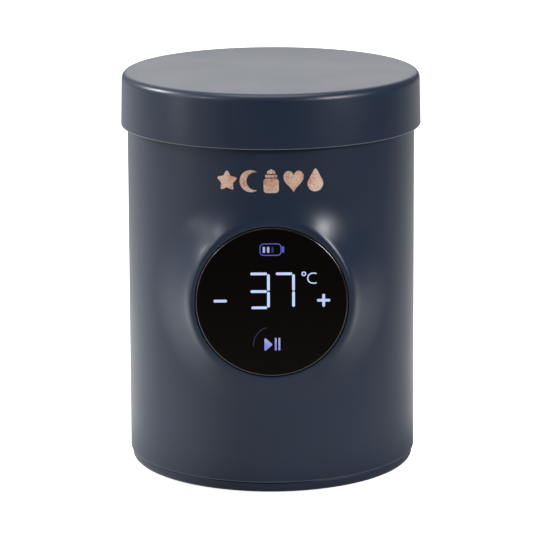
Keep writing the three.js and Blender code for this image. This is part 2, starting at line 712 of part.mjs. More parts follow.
function addDisplay(body) {
  // Inside this group local +Z points out of the display and local +Y points up.
  const display = new THREE.Group();
  display.rotation.x = Math.PI / 2;
  display.position.z = DISPLAY_Z;
  body.add(display);

  const lens = turned([
    [0, LENS_BACK],
    [LENS_RADIUS, LENS_BACK],
    [LENS_RADIUS, BOSS_FRONT - LENS_CHAMFER],
    [LENS_RADIUS - LENS_CHAMFER, BOSS_FRONT],
    [0, BOSS_FRONT],
  ], ROUND);
  addPiece(display, "display_lens", lens, BLACK_GLASS);
  addPiece(display, "display_mask", makeDisplayMask(), DARK_PLASTIC);
  const board = ring(0, DISPLAY_BOARD_RADIUS, DISPLAY_BOARD_BACK, DISPLAY_BOARD_FRONT);
  addPiece(display, "display_board", board, CIRCUIT_BOARD);
  const chip = addPiece(display, "display_driver_chip", new THREE.BoxGeometry(...DRIVER_CHIP), CHIP);
  chip.position.set(13, -8, DISPLAY_BOARD_BACK - GAP - DRIVER_CHIP[2] / 2);
  for (const [key, [x, y]] of Object.entries(TOUCH_PLACES)) {
    const pad = ring(0, TOUCH_RADIUS, MASK_BACK, LEDGE_FRONT, SMALL);
    addPiece(display, `touch_pad_${key}`, pad, CHIP).position.set(x, y, 0);
  }
}

// ---------------------------------------------------------------- leads

function addLeads(group) {
  const ribbonSection = new THREE.Shape();
  const [halfWidth, halfSheet] = [6, 0.12];
  ribbonSection.moveTo(-halfSheet, -halfWidth);
  ribbonSection.lineTo(halfSheet, -halfWidth);
  ribbonSection.lineTo(halfSheet, halfWidth);
  ribbonSection.lineTo(-halfSheet, halfWidth);
  ribbonSection.closePath();
  const ribbonDepth = -(DISPLAY_BOARD_BACK - GAP - halfSheet);
  const ribbonPoints = [
    [0, ribbonDepth, DISPLAY_Z - 8],
    [0, ribbonDepth, 45],
    [0, ribbonDepth, 36],
    [0, -40.5, 31.5],
    [0, -35, 29],
    [0, -29, BOARD_TOP + 1.4],
    [0, -25, BOARD_TOP + 1.3],
  ];
  addPiece(group, "display_ribbon", lead(ribbonPoints, ribbonSection, 14), WHITE_PLASTIC);

  const round = roundSection(LEAD_RADIUS, 6);
  const stripFace = CELL_LENGTH / 2 + 2 * GAP + 0.3 + LEAD_RADIUS;
  const connectorSide = 28 + GAP;
  const batteryLeads = [["battery_lead_red", 2, RED_LEAD], ["battery_lead_black", 6, BLACK_LEAD]];
  batteryLeads.forEach(([name, y, look]) => {
    const points = [
      [stripFace, y, CELL_Z + 3],
      [stripFace, y, 22],
      [stripFace - 0.1, y, 26],
      [stripFace - 1.6, y, 28.4],
      [connectorSide, y, 28.8],
    ];
    addPiece(group, name, lead(points, round, 8), look);
  });
  HEATER_LEAD_ANGLES.forEach((angle, place) => {
    const [x, y] = heaterLeadPlace(angle);
    const points = [
      [-connectorSide, y, 28.8],
      [-33, y, 29],
      [x + 1.4, y, 30],
      [x, y, 33],
      [x, y, 38],
      [x, y, 43],
    ];
    addPiece(group, `heater_lead_${place + 1}`, lead(points, round, 10), RED_LEAD);
  });
}

// ---------------------------------------------------------------- charging port cover

// A tab of the cylinder's own curvature, between two heights.
function curvedTab(low, high) {
  const skin = solid(ring(FLAP_FACE - FLAP_THICKNESS, FLAP_FACE, low, high, 72));
  return skin.intersect(solid(block([-FLAP_HALF_WIDTH, 30, low - 1], [FLAP_HALF_WIDTH, 50, high + 1])));
}

function addPortFlap(group) {
  addPiece(group, "port_flap", geometryOf(curvedTab(FLAP_BOTTOM, FLAP_TOP)), SILICONE);
}

function addPortFlapAnchor(group) {
  const stem = post(0, 0, ANCHOR_STEM, 42.4, 46).rotateX(-Math.PI / 2).translate(0, 0, ANCHOR_Z);
  const barb = post(0, 0, ANCHOR_BARB, 41.4, 42.7).rotateX(-Math.PI / 2).translate(0, 0, ANCHOR_Z);
  const anchor = curvedTab(ANCHOR_BOTTOM, ANCHOR_TOP).add(solid(stem)).add(solid(barb));
  addPiece(group, "port_flap_anchor", geometryOf(anchor), SILICONE);
}

// ---------------------------------------------------------------- lid

const LID_FLANGE_BOTTOM = COLLAR_TOP + GAP;
const LID_FLANGE_TOP = LID_FLANGE_BOTTOM + LID_FLANGE_SHEET;

function makeLidShell() {
  const inside = TOTAL_HEIGHT - LID_THICKNESS;
  const cornerInside = 1.5;
  const ribBottom = LID_FLANGE_TOP + GAP;
  return turned([
    [0, TOTAL_HEIGHT],
    ...arc(LID_RADIUS_HIGH - LID_ROUND, TOTAL_HEIGHT - LID_ROUND, LID_ROUND, 90, 0, 4),
    [LID_RADIUS_LOW, LID_BOTTOM],
    [LID_BORE, LID_BOTTOM],
    [LID_BORE, inside - cornerInside],
    [LID_BORE - cornerInside, inside],
    [LID_RIB_OUTER, inside],
    [LID_RIB_OUTER, ribBottom],
    [LID_RIB_INNER, ribBottom],
    [LID_RIB_INNER, inside],
    [0, inside],
  ], ROUND);
}

function addLid(group) {
  const plug = CUP_RADIUS - 0.9;
  const chamfer = 0.6;
  const hollow = plug - LID_PLUG_WALL;
  const floor = LID_PLUG_BOTTOM + LID_PLUG_SHEET;
  const [grooveLow, grooveHigh] = SEAL_GROOVE;
  const grooveFloor = plug - SEAL_GROOVE_DEPTH;
  const liner = turned([
    [0, LID_PLUG_BOTTOM],
    [plug - chamfer, LID_PLUG_BOTTOM],
    [plug, LID_PLUG_BOTTOM + chamfer],
    [plug, grooveLow],
    [grooveFloor, grooveLow],
    [grooveFloor, grooveHigh],
    [plug, grooveHigh],
    [plug, LID_FLANGE_BOTTOM],
    [LID_FLANGE_RADIUS, LID_FLANGE_BOTTOM],
    [LID_FLANGE_RADIUS, LID_FLANGE_TOP],
    [hollow, LID_FLANGE_TOP],
    [hollow, floor],
    [0, floor],
  ], MEDIUM);
  const insulation = ring(0, hollow - GAP, floor + GAP, LID_FLANGE_TOP);
  const seal = ring(grooveFloor + GAP, CUP_RADIUS - GAP, grooveLow + GAP, grooveHigh - GAP);
  addPiece(group, "lid_shell", makeLidShell(), NAVY);
  addPiece(group, "lid_liner", liner, DARK_PLASTIC);
  addPiece(group, "lid_insulation", insulation, FOAM);
  addPiece(group, "lid_seal", seal, SILICONE);
}

// ---------------------------------------------------------------- assembly

const body = new THREE.Group();
addPiece(body, "outer_shell", makeOuterShell(), NAVY);
addPiece(body, "rim_collar", makeRimCollar(), DARK_PLASTIC);
addPiece(body, "inner_chassis", makeChassis(), DARK_PLASTIC);
addBase(body);
addBatteryPack(body);
addMainBoard(body);
addCup(body);
addDisplay(body);
addLeads(body);
addPortFlapAnchor(body);

const flap = new THREE.Group();
addPortFlap(flap);

const lid = new THREE.Group();
addLid(lid);

warmer.add(body, flap, lid);

export default warmer;
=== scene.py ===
"""The looks of a cordless baby-bottle warmer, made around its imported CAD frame.

Everything is in metres in the frame's own axes: +Z up, the display faces -Y, and +X is to the right of
someone facing it. Sizes written in millimetres are multiplied by MM. The outlines of the symbols and of the
foil are plain millimetres, which slab_object scales.
"""

import math

import bmesh
import bpy
import numpy as np
from mathutils import Matrix, Vector


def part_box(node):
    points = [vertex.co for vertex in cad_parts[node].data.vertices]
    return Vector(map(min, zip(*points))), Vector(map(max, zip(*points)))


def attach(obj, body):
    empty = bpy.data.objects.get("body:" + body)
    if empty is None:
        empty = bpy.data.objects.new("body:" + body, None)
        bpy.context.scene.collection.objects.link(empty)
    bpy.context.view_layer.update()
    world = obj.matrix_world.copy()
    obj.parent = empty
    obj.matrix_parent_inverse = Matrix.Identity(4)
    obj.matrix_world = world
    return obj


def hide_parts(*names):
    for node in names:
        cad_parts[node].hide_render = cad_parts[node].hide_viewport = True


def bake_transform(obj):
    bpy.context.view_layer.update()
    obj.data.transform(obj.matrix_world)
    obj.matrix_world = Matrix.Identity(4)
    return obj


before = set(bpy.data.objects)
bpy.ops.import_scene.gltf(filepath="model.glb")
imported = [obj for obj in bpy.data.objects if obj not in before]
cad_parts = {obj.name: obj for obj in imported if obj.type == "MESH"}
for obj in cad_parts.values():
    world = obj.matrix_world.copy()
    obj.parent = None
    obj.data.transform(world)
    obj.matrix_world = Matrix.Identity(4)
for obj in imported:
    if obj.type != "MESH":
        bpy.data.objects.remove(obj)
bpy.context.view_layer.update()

MM = 0.001

# ---- sizes taken from the frame

shell_low, shell_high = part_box("outer_shell")
lid_low, lid_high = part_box("lid_shell")
lens_low, lens_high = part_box("display_lens")
base_low, base_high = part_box("base_cover")
foot_low, foot_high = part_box("foot_ring")
cup_low, cup_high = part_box("cup_liner")
collar_low, collar_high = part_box("rim_collar")
liner_low, liner_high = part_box("lid_liner")
seal_low, seal_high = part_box("lid_seal")
gasket_low, gasket_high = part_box("cup_gasket")
flap_low, flap_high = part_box("port_flap")
anchor_low, anchor_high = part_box("port_flap_anchor")

GAP = 0.3 * MM
WALL = 2.4 * MM
BODY_RADIUS_LOW = shell_high.x
BODY_DRAFT = 0.35 * MM  # narrower under the lid than at the base seam
DISPLAY_Z = (lens_low.z + lens_high.z) / 2
LENS_RADIUS = (lens_high.x - lens_low.x) / 2
LENS_FRONT = -lens_low.y
LENS_BACK = -lens_high.y
CREST_RADIUS = 26.2 * MM  # where the boss starts to fall away
CREST_ROUNDING = 0.9 * MM  # half the width of the band that is rounded over
CREST_SHARE = 0.22  # the part of the fall that is a steep step beside the crest, at the display's two sides
CREST_POWER = 12  # how steep that step is
FAIRING_LENGTH = 11.5 * MM
FAIRING_POWER = 2.4  # how steep the rest of the fall is

SEAM_RISE = 0.6 * MM  # the shell ends this much above the frame's seam, where the object's own seam is
LIP = 0.28 * MM  # the height of a lighter band round the foot of the lid's skirt and of the shell, a painted highlight
BEVEL = 0.45 * MM  # the polished edge of the window
FLAP_THICKNESS = 1.4 * MM
FOOT_INNER = 41.0 * MM  # inside the ring that it stands on

ROUND = 256  # segments of the large turned pieces


# ---- mesh helpers

def add_object(name, data):
    """A new object of the scene that shows a mesh, a lamp or a camera."""
    made = bpy.data.objects.new(name, data)
    bpy.context.scene.collection.objects.link(made)
    return made


def open_mesh(piece):
    """A piece's mesh, open for editing."""
    work = bmesh.new()
    work.from_mesh(piece.data)
    return work


def close_mesh(work, mesh):
    """Ends the editing of a mesh."""
    work.to_mesh(mesh)
    work.free()


def mesh_object(name, vertices, faces, sharp_angle=32):
    """A smooth-shaded mesh object in the frame's axes, with its faces pointing out."""
    mesh = bpy.data.meshes.new(name)
    mesh.from_pydata([tuple(vertex) for vertex in vertices], [], faces)
    piece = add_object(name, mesh)
    tidy_mesh(piece, sharp_angle)
    return piece


def tidy_mesh(piece, sharp_angle=32):
    """Merges doubled corners, turns the faces out and marks the crisp edges."""
    work = open_mesh(piece)
    bmesh.ops.remove_doubles(work, verts=work.verts, dist=1e-7)
    bmesh.ops.recalc_face_normals(work, faces=work.faces)
    close_mesh(work, piece.data)
    piece.data.shade_smooth()
    piece.data.set_sharp_from_angle(angle=math.radians(sharp_angle))


def slice_across(work, places):
    """Cuts a mesh along planes that face X, so that it can be bent round the cylinder."""
    for place in places:
        geometry = work.verts[:] + work.edges[:] + work.faces[:]
        bmesh.ops.bisect_plane(work, geom=geometry, plane_co=(place, 0, 0), plane_no=(1, 0, 0))


def rounded(corners, steps=5):
    """Points of a profile whose corners are (radius, height, fillet); a fillet of 0 stays sharp."""
    points = []
    count = len(corners)
    for place, (radius, height, fillet) in enumerate(corners):
        here = Vector((radius, height))
        if fillet == 0:
            points.append(here)
            continue
        into = (Vector(corners[place - 1][:2]) - here).normalized()
        out = (Vector(corners[(place + 1) % count][:2]) - here).normalized()
        half = into.angle(out) / 2
        centre = here + (into + out).normalized() * fillet / math.sin(half)
        start = (here + into * fillet / math.tan(half) - centre).normalized()
        end = (here + out * fillet / math.tan(half) - centre).normalized()
        for step in range(steps + 1):
            points.append(centre + start.slerp(end, step / steps) * fillet)
    return points


def turned(name, corners, segments=ROUND, steps=5, sharp_angle=32):
    """A solid of revolution about Z from profile corners (radius, height, fillet) in metres."""
    points = rounded(corners, steps)
    on_axis = points[0].x == 0 and points[-1].x == 0
    vertices = []
    rows = []
    for point in points:
        if point.x == 0:
            rows.append([len(vertices)] * segments)
            vertices.append((0, 0, point.y))
            continue
        rows.append(list(range(len(vertices), len(vertices) + segments)))
        for place in range(segments):
            angle = 2 * math.pi * place / segments
            vertices.append((point.x * math.sin(angle), -point.x * math.cos(angle), point.y))
    if not on_axis:
        rows.append(rows[0])
    faces = []
    for low, high in zip(rows, rows[1:]):
        for place in range(segments):
            after = (place + 1) % segments
            corner_list = [low[place], low[after], high[after], high[place]]
            face = list(dict.fromkeys(corner_list))
            if len(face) > 2:
                faces.append(face)
    return mesh_object(name, vertices, faces, sharp_angle)


def facing_front(piece):
    """Turns a piece made about Z so that its axis is the display's: +Z becomes -Y."""
    piece.data.transform(Matrix.Translation((0, 0, DISPLAY_Z)) @ Matrix.Rotation(math.pi / 2, 4, "X"))
    return piece


def box_object(name, low, high):
    """A plain box between two corners, used as a cutting tool."""
    corners = [(x, y, z) for x in (low[0], high[0]) for y in (low[1], high[1]) for z in (low[2], high[2])]
    faces = [(0, 1, 3, 2), (4, 6, 7, 5), (0, 4, 5, 1), (2, 3, 7, 6), (0, 2, 6, 4), (1, 5, 7, 3)]
    return mesh_object(name, corners, faces)


def combine(piece, tool, operation, sharp_angle=32):
    """Cuts or joins a piece with a tool object, and removes the tool."""
    modifier = piece.modifiers.new("combine", "BOOLEAN")
    modifier.operation = operation
    modifier.solver = "EXACT"
    modifier.object = tool
    graph = bpy.context.evaluated_depsgraph_get()
    made = bpy.data.meshes.new_from_object(piece.evaluated_get(graph))
    piece.modifiers.clear()
    piece.data = made
    bpy.data.objects.remove(tool)
    tidy_mesh(piece, sharp_angle)
    return piece


def dress(piece, body, material, replaces=()):
    """Gives a piece its material and its body, and hides the CAD nodes that it stands for."""
    piece.data.materials.clear()
    piece.data.materials.append(material)
    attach(piece, body)
    if replaces:
        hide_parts(*replaces)
    return piece


# ---- material helpers

def add_node(tree, kind, linked, fixed=None, output=0, **settings):
    """A new shader node. linked gives the sockets that feed its inputs, and fixed the values of others.
    Returns one of its outputs."""
    node = tree.nodes.new("ShaderNode" + kind)
    for name, value in settings.items():
        setattr(node, name, value)
    for name, value in (fixed or {}).items():
        node.inputs[name].default_value = value
    for name, source in linked.items():
        tree.links.new(source, node.inputs[name])
    return node.outputs[output]


class Sheet:
    """A procedural material being laid out: short names for the nodes that this object needs."""

    def __init__(self, name):
        self.material = bpy.data.materials.new(name)
        self.material.use_nodes = True
        self.nodes = self.material.node_tree.nodes
        self.links = self.material.node_tree.links
        self.shader = self.nodes["Principled BSDF"]
        self.place = self.nodes.new("ShaderNodeTexCoord").outputs["Object"]

    def fixed(self, **values):
        """Sets the shader's own sockets; a name's underscores stand for spaces."""
        for name, value in values.items():
            self.shader.inputs[name.replace("_", " ")].default_value = value

    def node(self, kind, linked, fixed=None, output=0, **settings):
        return add_node(self.material.node_tree, kind, linked, fixed, output, **settings)

    def stretched(self, scale):
        """The object's coordinates, scaled by three factors."""
        return self.node("Mapping", {"Vector": self.place}, {"Scale": scale}, "Vector")

    def noise(self, scale, detail=2.0, roughness=0.5, vector=None):
        fixed = {"Scale": scale, "Detail": detail, "Roughness": roughness}
        return self.node("TexNoise", {"Vector": vector or self.place}, fixed, "Fac")

    def cells(self, scale, feature="F1"):
        return self.node("TexVoronoi", {"Vector": self.place}, {"Scale": scale}, "Distance", feature=feature)

    def wave(self, scale, axis, distortion):
        fixed = {"Scale": scale, "Distortion": distortion}
        return self.node("TexWave", {"Vector": self.place}, fixed, "Fac", bands_direction=axis)

    def ramp(self, source, *stops):
        """Colours by position: each stop is (position, colour)."""
        node = self.nodes.new("ShaderNodeValToRGB")
        elements = node.color_ramp.elements
        while len(elements) < len(stops):
            elements.new(0.5)
        for element, (position, colour) in zip(elements, stops):
            element.position = position
            element.color = (*colour, 1)
        self.links.new(source, node.inputs["Fac"])
        return node.outputs["Color"]

    def spread(self, source, low, high):
        """Maps 0..1 to low..high."""
        return self.node("MapRange", {"Value": source}, {"To Min": low, "To Max": high}, "Result")

    def math(self, operation, first, second):
        node = self.nodes.new("ShaderNodeMath")
        node.operation = operation
        for socket, value in zip(node.inputs, (first, second)):
            if isinstance(value, (int, float)):
                socket.default_value = value
            else:
                self.links.new(value, socket)
        return node.outputs["Value"]

    def height(self, source, distance, strength=1.0, under=None):
        """A bump of a depth in metres; under is an earlier bump that it adds to."""
        linked = {"Height": source}
        if under is not None:
            linked["Normal"] = under
        return self.node("Bump", linked, {"Distance": distance, "Strength": strength}, "Normal")

    def into(self, source, name):
        self.links.new(source, self.shader.inputs[name])

    def colour(self, source, *stops):
        self.into(self.ramp(source, *stops), "Base Color")

    def gloss(self, source, low, high):
        """Roughness from low to high, where the source goes from 0 to 1."""
        self.into(self.spread(source, low, high), "Roughness")

    def relief(self, source, distance, strength, under=None):
        self.into(self.height(source, distance, strength, under), "Normal")


# ---- materials

def navy_plastic(name, dark, light):
    """Satin moulded plastic: a fine spark-eroded texture, and a faint cloudiness in colour and gloss."""
    sheet = Sheet(name)
    cloud = sheet.noise(38, detail=4)
    grain = sheet.noise(3600, detail=2, roughness=0.6)
    sheet.colour(cloud, (0.3, dark), (0.7, light))
    haze = sheet.math("ADD", cloud, sheet.math("MULTIPLY", grain, 0.6))
    sheet.gloss(haze, 0.24, 0.36)
    sheet.relief(grain, 0.012 * MM, 0.55)
    sheet.fixed(IOR=1.5)
    return sheet.material


def black_window():
    """Polished black window with the faint waviness of a moulded part and a few specks of dust."""
    sheet = Sheet("black_window")
    drift = sheet.noise(60, detail=2)
    dust = sheet.cells(900)
    sheet.colour(dust, (0.0, (0.012, 0.012, 0.012)), (0.05, (0.0034, 0.0028, 0.0023)))
    sheet.gloss(drift, 0.04, 0.09)
    sheet.relief(drift, 0.01 * MM, 0.2)
    sheet.fixed(Specular_IOR_Level=0.07)
    return sheet.material


def window_bevel():
    """The window's bevel: the same black, polished, with a brown tint where light gets into its edge."""
    sheet = Sheet("window_bevel")
    drift = sheet.noise(90, detail=3)
    sheet.colour(drift, (0.35, (0.010, 0.009, 0.008)), (0.65, (0.018, 0.016, 0.014)))
    sheet.gloss(drift, 0.15, 0.25)
    sheet.fixed(IOR=2.0)
    return sheet.material


def moulded(name, dark, light, roughness=(0.45, 0.6), grain_depth=0.012):
    """Plain moulded plastic or silicone: fine grain, slight cloudiness."""
    sheet = Sheet(name)
    cloud = sheet.noise(70, detail=4)
    grain = sheet.noise(3000, detail=2, roughness=0.6)
    sheet.colour(cloud, (0.3, dark), (0.7, light))
    sheet.gloss(cloud, *roughness)
    sheet.relief(grain, grain_depth * MM, 0.6)
    return sheet.material


def brushed_metal(name, dark, light, stretch, roughness=(0.22, 0.4)):
    """Metal with drawn or turned lines, long where the stretch is small."""
    sheet = Sheet(name)
    lines = sheet.noise(1.0, detail=6, roughness=0.65, vector=sheet.stretched(stretch))
    smudge = sheet.noise(45, detail=4)
    sheet.colour(lines, (0.25, dark), (0.75, light))
    sheet.gloss(sheet.math("MULTIPLY", lines, sheet.math("ADD", smudge, 0.5)), *roughness)
    sheet.relief(lines, 0.004 * MM, 0.6)
    sheet.fixed(Metallic=1.0)
    return sheet.material


def rose_gold_foil():
    """Hot-stamped foil over a grained plastic: bright metal broken up by the texture under it."""
    sheet = Sheet("rose_gold_foil")
    grain = sheet.noise(2600, detail=3, roughness=0.7)
    patch = sheet.noise(260, detail=3)
    mix = sheet.math("ADD", sheet.math("MULTIPLY", grain, 0.65), sheet.math("MULTIPLY", patch, 0.35))
    worn, plain, bright = (0.56, 0.25, 0.17), (1.0, 0.58, 0.42), (1.0, 0.82, 0.68)
    sheet.colour(mix, (0.38, worn), (0.48, plain), (0.58, bright))
    sheet.gloss(grain, 0.58, 0.44)
    sheet.relief(grain, 0.05 * MM, 0.9)
    sheet.fixed(Metallic=0.55, Specular_IOR_Level=0.2)
    return sheet.material


def lit_symbol(name, level, cool, warm):
    """A lit symbol seen through the window, in patches of a cooler and a warmer tint."""
    sheet = Sheet(name)
    patch = sheet.noise(330, detail=2)
    sheet.into(sheet.ramp(patch, (0.46, cool), (0.66, warm)), "Emission Color")
    sheet.gloss(patch, 0.02, 0.03)
    sheet.fixed(Base_Color=(0.02, 0.02, 0.03, 1), Emission_Strength=level, Specular_IOR_Level=0.2)
    return sheet.material


def circuit_board():
    """Green solder mask over a grid of copper tracks, with bare pads."""
    sheet = Sheet("circuit_board")
    tracks = sheet.cells(420, feature="DISTANCE_TO_EDGE")
    pads = sheet.cells(260)
    green = sheet.ramp(tracks, (0.0, (0.020, 0.150, 0.070)), (0.12, (0.006, 0.065, 0.030)))
    bare = sheet.ramp(pads, (0.10, (1, 1, 1)), (0.13, (0, 0, 0)))
    copper = (0.72, 0.58, 0.30, 1)
    colour = sheet.node("Mix", {"Factor": bare, "A": green}, {"B": copper}, "Result", data_type="RGBA")
    sheet.into(colour, "Base Color")
    sheet.gloss(tracks, 0.25, 0.4)
    sheet.relief(tracks, 0.03 * MM, 0.5)
    return sheet.material


def heater_foil():
    """Amber film over a wound resistance track."""
    sheet = Sheet("heater_foil")
    track = sheet.wave(55, axis="Z", distortion=0.6)
    sheet.colour(track, (0.40, (0.42, 0.13, 0.02)), (0.52, (0.62, 0.36, 0.16)))
    sheet.gloss(track, 0.22, 0.35)
    sheet.relief(track, 0.05 * MM, 0.5)
    return sheet.material


def felt():
    """Pale insulation felt with crossed fibres."""
    sheet = Sheet("felt")
    fibre = sheet.noise(1.0, detail=8, roughness=0.75, vector=sheet.stretched((900, 900, 5200)))
    tuft = sheet.noise(420, detail=5, roughness=0.7)
    sheet.colour(fibre, (0.3, (0.60, 0.57, 0.50)), (0.7, (0.84, 0.82, 0.77)))
    sheet.gloss(tuft, 0.85, 1.0)
    sheet.relief(tuft, 0.25 * MM, 0.8, under=sheet.height(fibre, 0.1 * MM))
    sheet.fixed(Sheen_Weight=0.3)
    return sheet.material


NAVY = navy_plastic("navy_plastic", (0.0175, 0.0285, 0.0550), (0.0200, 0.0320, 0.0615))
BASE_NAVY = navy_plastic("base_navy_plastic", (0.0165, 0.0265, 0.0510), (0.0185, 0.0295, 0.0560))
WINDOW = black_window()
WINDOW_BEVEL = window_bevel()
FOIL = rose_gold_foil()
STEEL = brushed_metal("cup_steel", (0.55, 0.56, 0.57), (0.74, 0.75, 0.76), (60, 60, 5200))
SCREW_STEEL = brushed_metal("screw_steel", (0.42, 0.43, 0.45), (0.62, 0.63, 0.66), (900,) * 3, (0.25, 0.45))
NICKEL = brushed_metal("nickel", (0.52, 0.50, 0.46), (0.70, 0.68, 0.63), (200, 200, 3200))
PORT_STEEL = brushed_metal("port_steel", (0.60, 0.61, 0.63), (0.78, 0.79, 0.81),
                           (200, 3000, 200), (0.12, 0.25))
ALUMINIUM = brushed_metal("aluminium", (0.60, 0.61, 0.62), (0.78, 0.79, 0.80), (2600, 90, 90), (0.28, 0.45))
DARK_PLASTIC = moulded("dark_plastic", (0.016, 0.020, 0.028), (0.024, 0.029, 0.039))
SILICONE = moulded("silicone", (0.018, 0.022, 0.030), (0.028, 0.034, 0.044), (0.62, 0.78), 0.02)
WHITE_PLASTIC = moulded("white_plastic", (0.66, 0.66, 0.61), (0.76, 0.76, 0.72))
CHIP = moulded("chip_black", (0.010, 0.010, 0.011), (0.020, 0.020, 0.022), (0.4, 0.6))
CELL_WRAP = moulded("cell_wrap", (0.020, 0.110, 0.330), (0.030, 0.150, 0.400), (0.22, 0.34), 0.006)
RED_LEAD = moulded("lead_red", (0.30, 0.012, 0.010), (0.42, 0.020, 0.016), (0.4, 0.55), 0.01)
BLACK_LEAD = moulded("lead_black", (0.010, 0.010, 0.010), (0.020, 0.020, 0.020), (0.4, 0.55), 0.01)
BOARD = circuit_board()
HEATER = heater_foil()
FELT = felt()
# Lighter navy for the thin ring at the shell's foot: a painted highlight line, not wear.
PAINTED_FOOT_HIGHLIGHT = moulded("painted_foot_highlight", (0.085, 0.100, 0.130), (0.115, 0.130, 0.165), (0.3, 0.45), 0.006)
# Lighter navy for the thin ring at the foot of the lid's skirt: a painted highlight line, not wear.
PAINTED_SKIRT_HIGHLIGHT = moulded("painted_skirt_highlight", (0.110, 0.130, 0.165), (0.150, 0.170, 0.210), (0.25, 0.4), 0.006)
LIT = lit_symbol("lit_symbol", 1.0, (0.52, 0.73, 1.0), (0.62, 0.58, 0.95))
LIT_MARK = lit_symbol("lit_symbol_mark", 0.92, (0.50, 0.68, 1.0), (0.60, 0.66, 1.0))
LIT_KEY = lit_symbol("lit_symbol_key", 0.72, (0.22, 0.28, 1.0), (0.50, 0.50, 0.95))
LIT_BAR = lit_symbol("lit_symbol_bar", 0.80, (0.46, 0.52, 1.0), (0.58, 0.50, 0.95))
LIT_LOW = lit_symbol("lit_symbol_low", 0.50, (0.16, 0.19, 0.90), (0.28, 0.26, 0.85))
LIT_DIM = lit_symbol("lit_symbol_dim", 0.10, (0.22, 0.16, 0.80), (0.34, 0.20, 0.80))
LIT_FAINT = lit_symbol("lit_symbol_faint", 0.035, (0.30, 0.26, 1.0), (0.50, 0.32, 0.90))


# ---- casing

def body_radius(height):
    share = (height - shell_low.z) / (lid_low.z - shell_low.z)
    return BODY_RADIUS_LOW - BODY_DRAFT * share


def skin_depth(x, height, inset, front):
    """How far in front of the axis the skin is: a flat boss that falls to the cylinder by two power laws."""
    cylinder = np.sqrt((body_radius(height) - inset) ** 2 - x**2)
    radius = np.hypot(x, height - DISPLAY_Z)
    past_crest = radius - (CREST_RADIUS - inset / 2)
    turning = np.clip(past_crest + CREST_ROUNDING, 0, None) ** 2 / (4 * CREST_ROUNDING)
    falling = np.where(past_crest < CREST_ROUNDING, turning, past_crest)
    left = 1 - np.clip(falling / FAIRING_LENGTH, 0, 1)
    step = CREST_SHARE * (x / radius) ** 4
    return cylinder + (front - cylinder) * (step * left**CREST_POWER + (1 - step) * left**FAIRING_POWER)


class Skin:
    """One skin of the casing. Rings of corners run round the display from its window out to a rectangle
    on the cylinder's front, and a grid closes the cylinder behind it."""

    SIDE = 64  # columns on each of the rectangle's four sides
    BACK_COLUMNS = 112
    OUTWARD_RINGS = 22  # from the end of the fairing to the rectangle
    FRONT_ANGLE = math.radians(75)  # half of what the front rectangle covers

    def __init__(self, inset, front, radii, low, high):
        self.vertices = []
        side = self.SIDE
        around = 4 * side
        angles = [2 * math.pi * (place - side / 2) / around for place in range(around)]
        self.rings = []
        for radius in radii:
            x = radius * np.cos(angles)
            height = DISPLAY_Z + radius * np.sin(angles)
            self.rings.append(self.add(x, -skin_depth(x, height, inset, front), height))

        last = radii[-1]
        start_height = DISPLAY_Z + last * np.sin(angles)
        start_angle = np.arcsin(last * np.cos(angles) / (body_radius(start_height) - inset))
        steps = np.arange(side) / side
        full = self.FRONT_ANGLE
        end_angle = np.concatenate([np.full(side, full), full - 2 * full * steps,
                                    np.full(side, -full), 2 * full * steps - full])
        end_height = np.concatenate([low + (high - low) * steps, np.full(side, high),
                                     high - (high - low) * steps, np.full(side, low)])
        for ring in range(1, self.OUTWARD_RINGS + 1):
            share = ring / self.OUTWARD_RINGS
            angle = start_angle + (end_angle - start_angle) * share
            height = start_height + (end_height - start_height) * share
            radius = body_radius(height) - inset
            self.rings.append(self.add(radius * np.sin(angle), -radius * np.cos(angle), height))

        outer = self.rings[-1]
        right = outer[:side + 1]
        left = outer[2 * side:3 * side + 1][::-1]
        heights = low + (high - low) * np.arange(side + 1) / side
        self.columns = [right]
        for column in range(1, self.BACK_COLUMNS):
            angle = full + (2 * math.pi - 2 * full) * column / self.BACK_COLUMNS
            radius = body_radius(heights) - inset
            self.columns.append(self.add(radius * math.sin(angle), -radius * math.cos(angle), heights))
        self.columns.append(left)

        back_top = [column[-1] for column in self.columns]
        back_bottom = [column[0] for column in self.columns]
        front_top = outer[side:2 * side + 1][::-1]
        front_bottom = outer[3 * side:] + outer[:1]
        self.top = front_top[:-1] + back_top[:-1]
        self.bottom = front_bottom[:-1] + back_bottom[:-1]

    def add(self, x, y, z):
        first = len(self.vertices)
        self.vertices += [Vector(point) for point in np.broadcast(x, y, z)]
        return list(range(first, len(self.vertices)))

    def faces(self):
        made = []
        for inner, outer in zip(self.rings, self.rings[1:]):
            made += bridge(inner, outer)
        for one, other in zip(self.columns, self.columns[1:]):
            made += bridge(one, other, looped=False)
        return made


def bridge(one, other, looped=True):
    """The faces between two rows of corners."""
    count = len(one)
    last = count if looped else count - 1
    return [(one[i], one[(i + 1) % count], other[(i + 1) % count], other[i]) for i in range(last)]


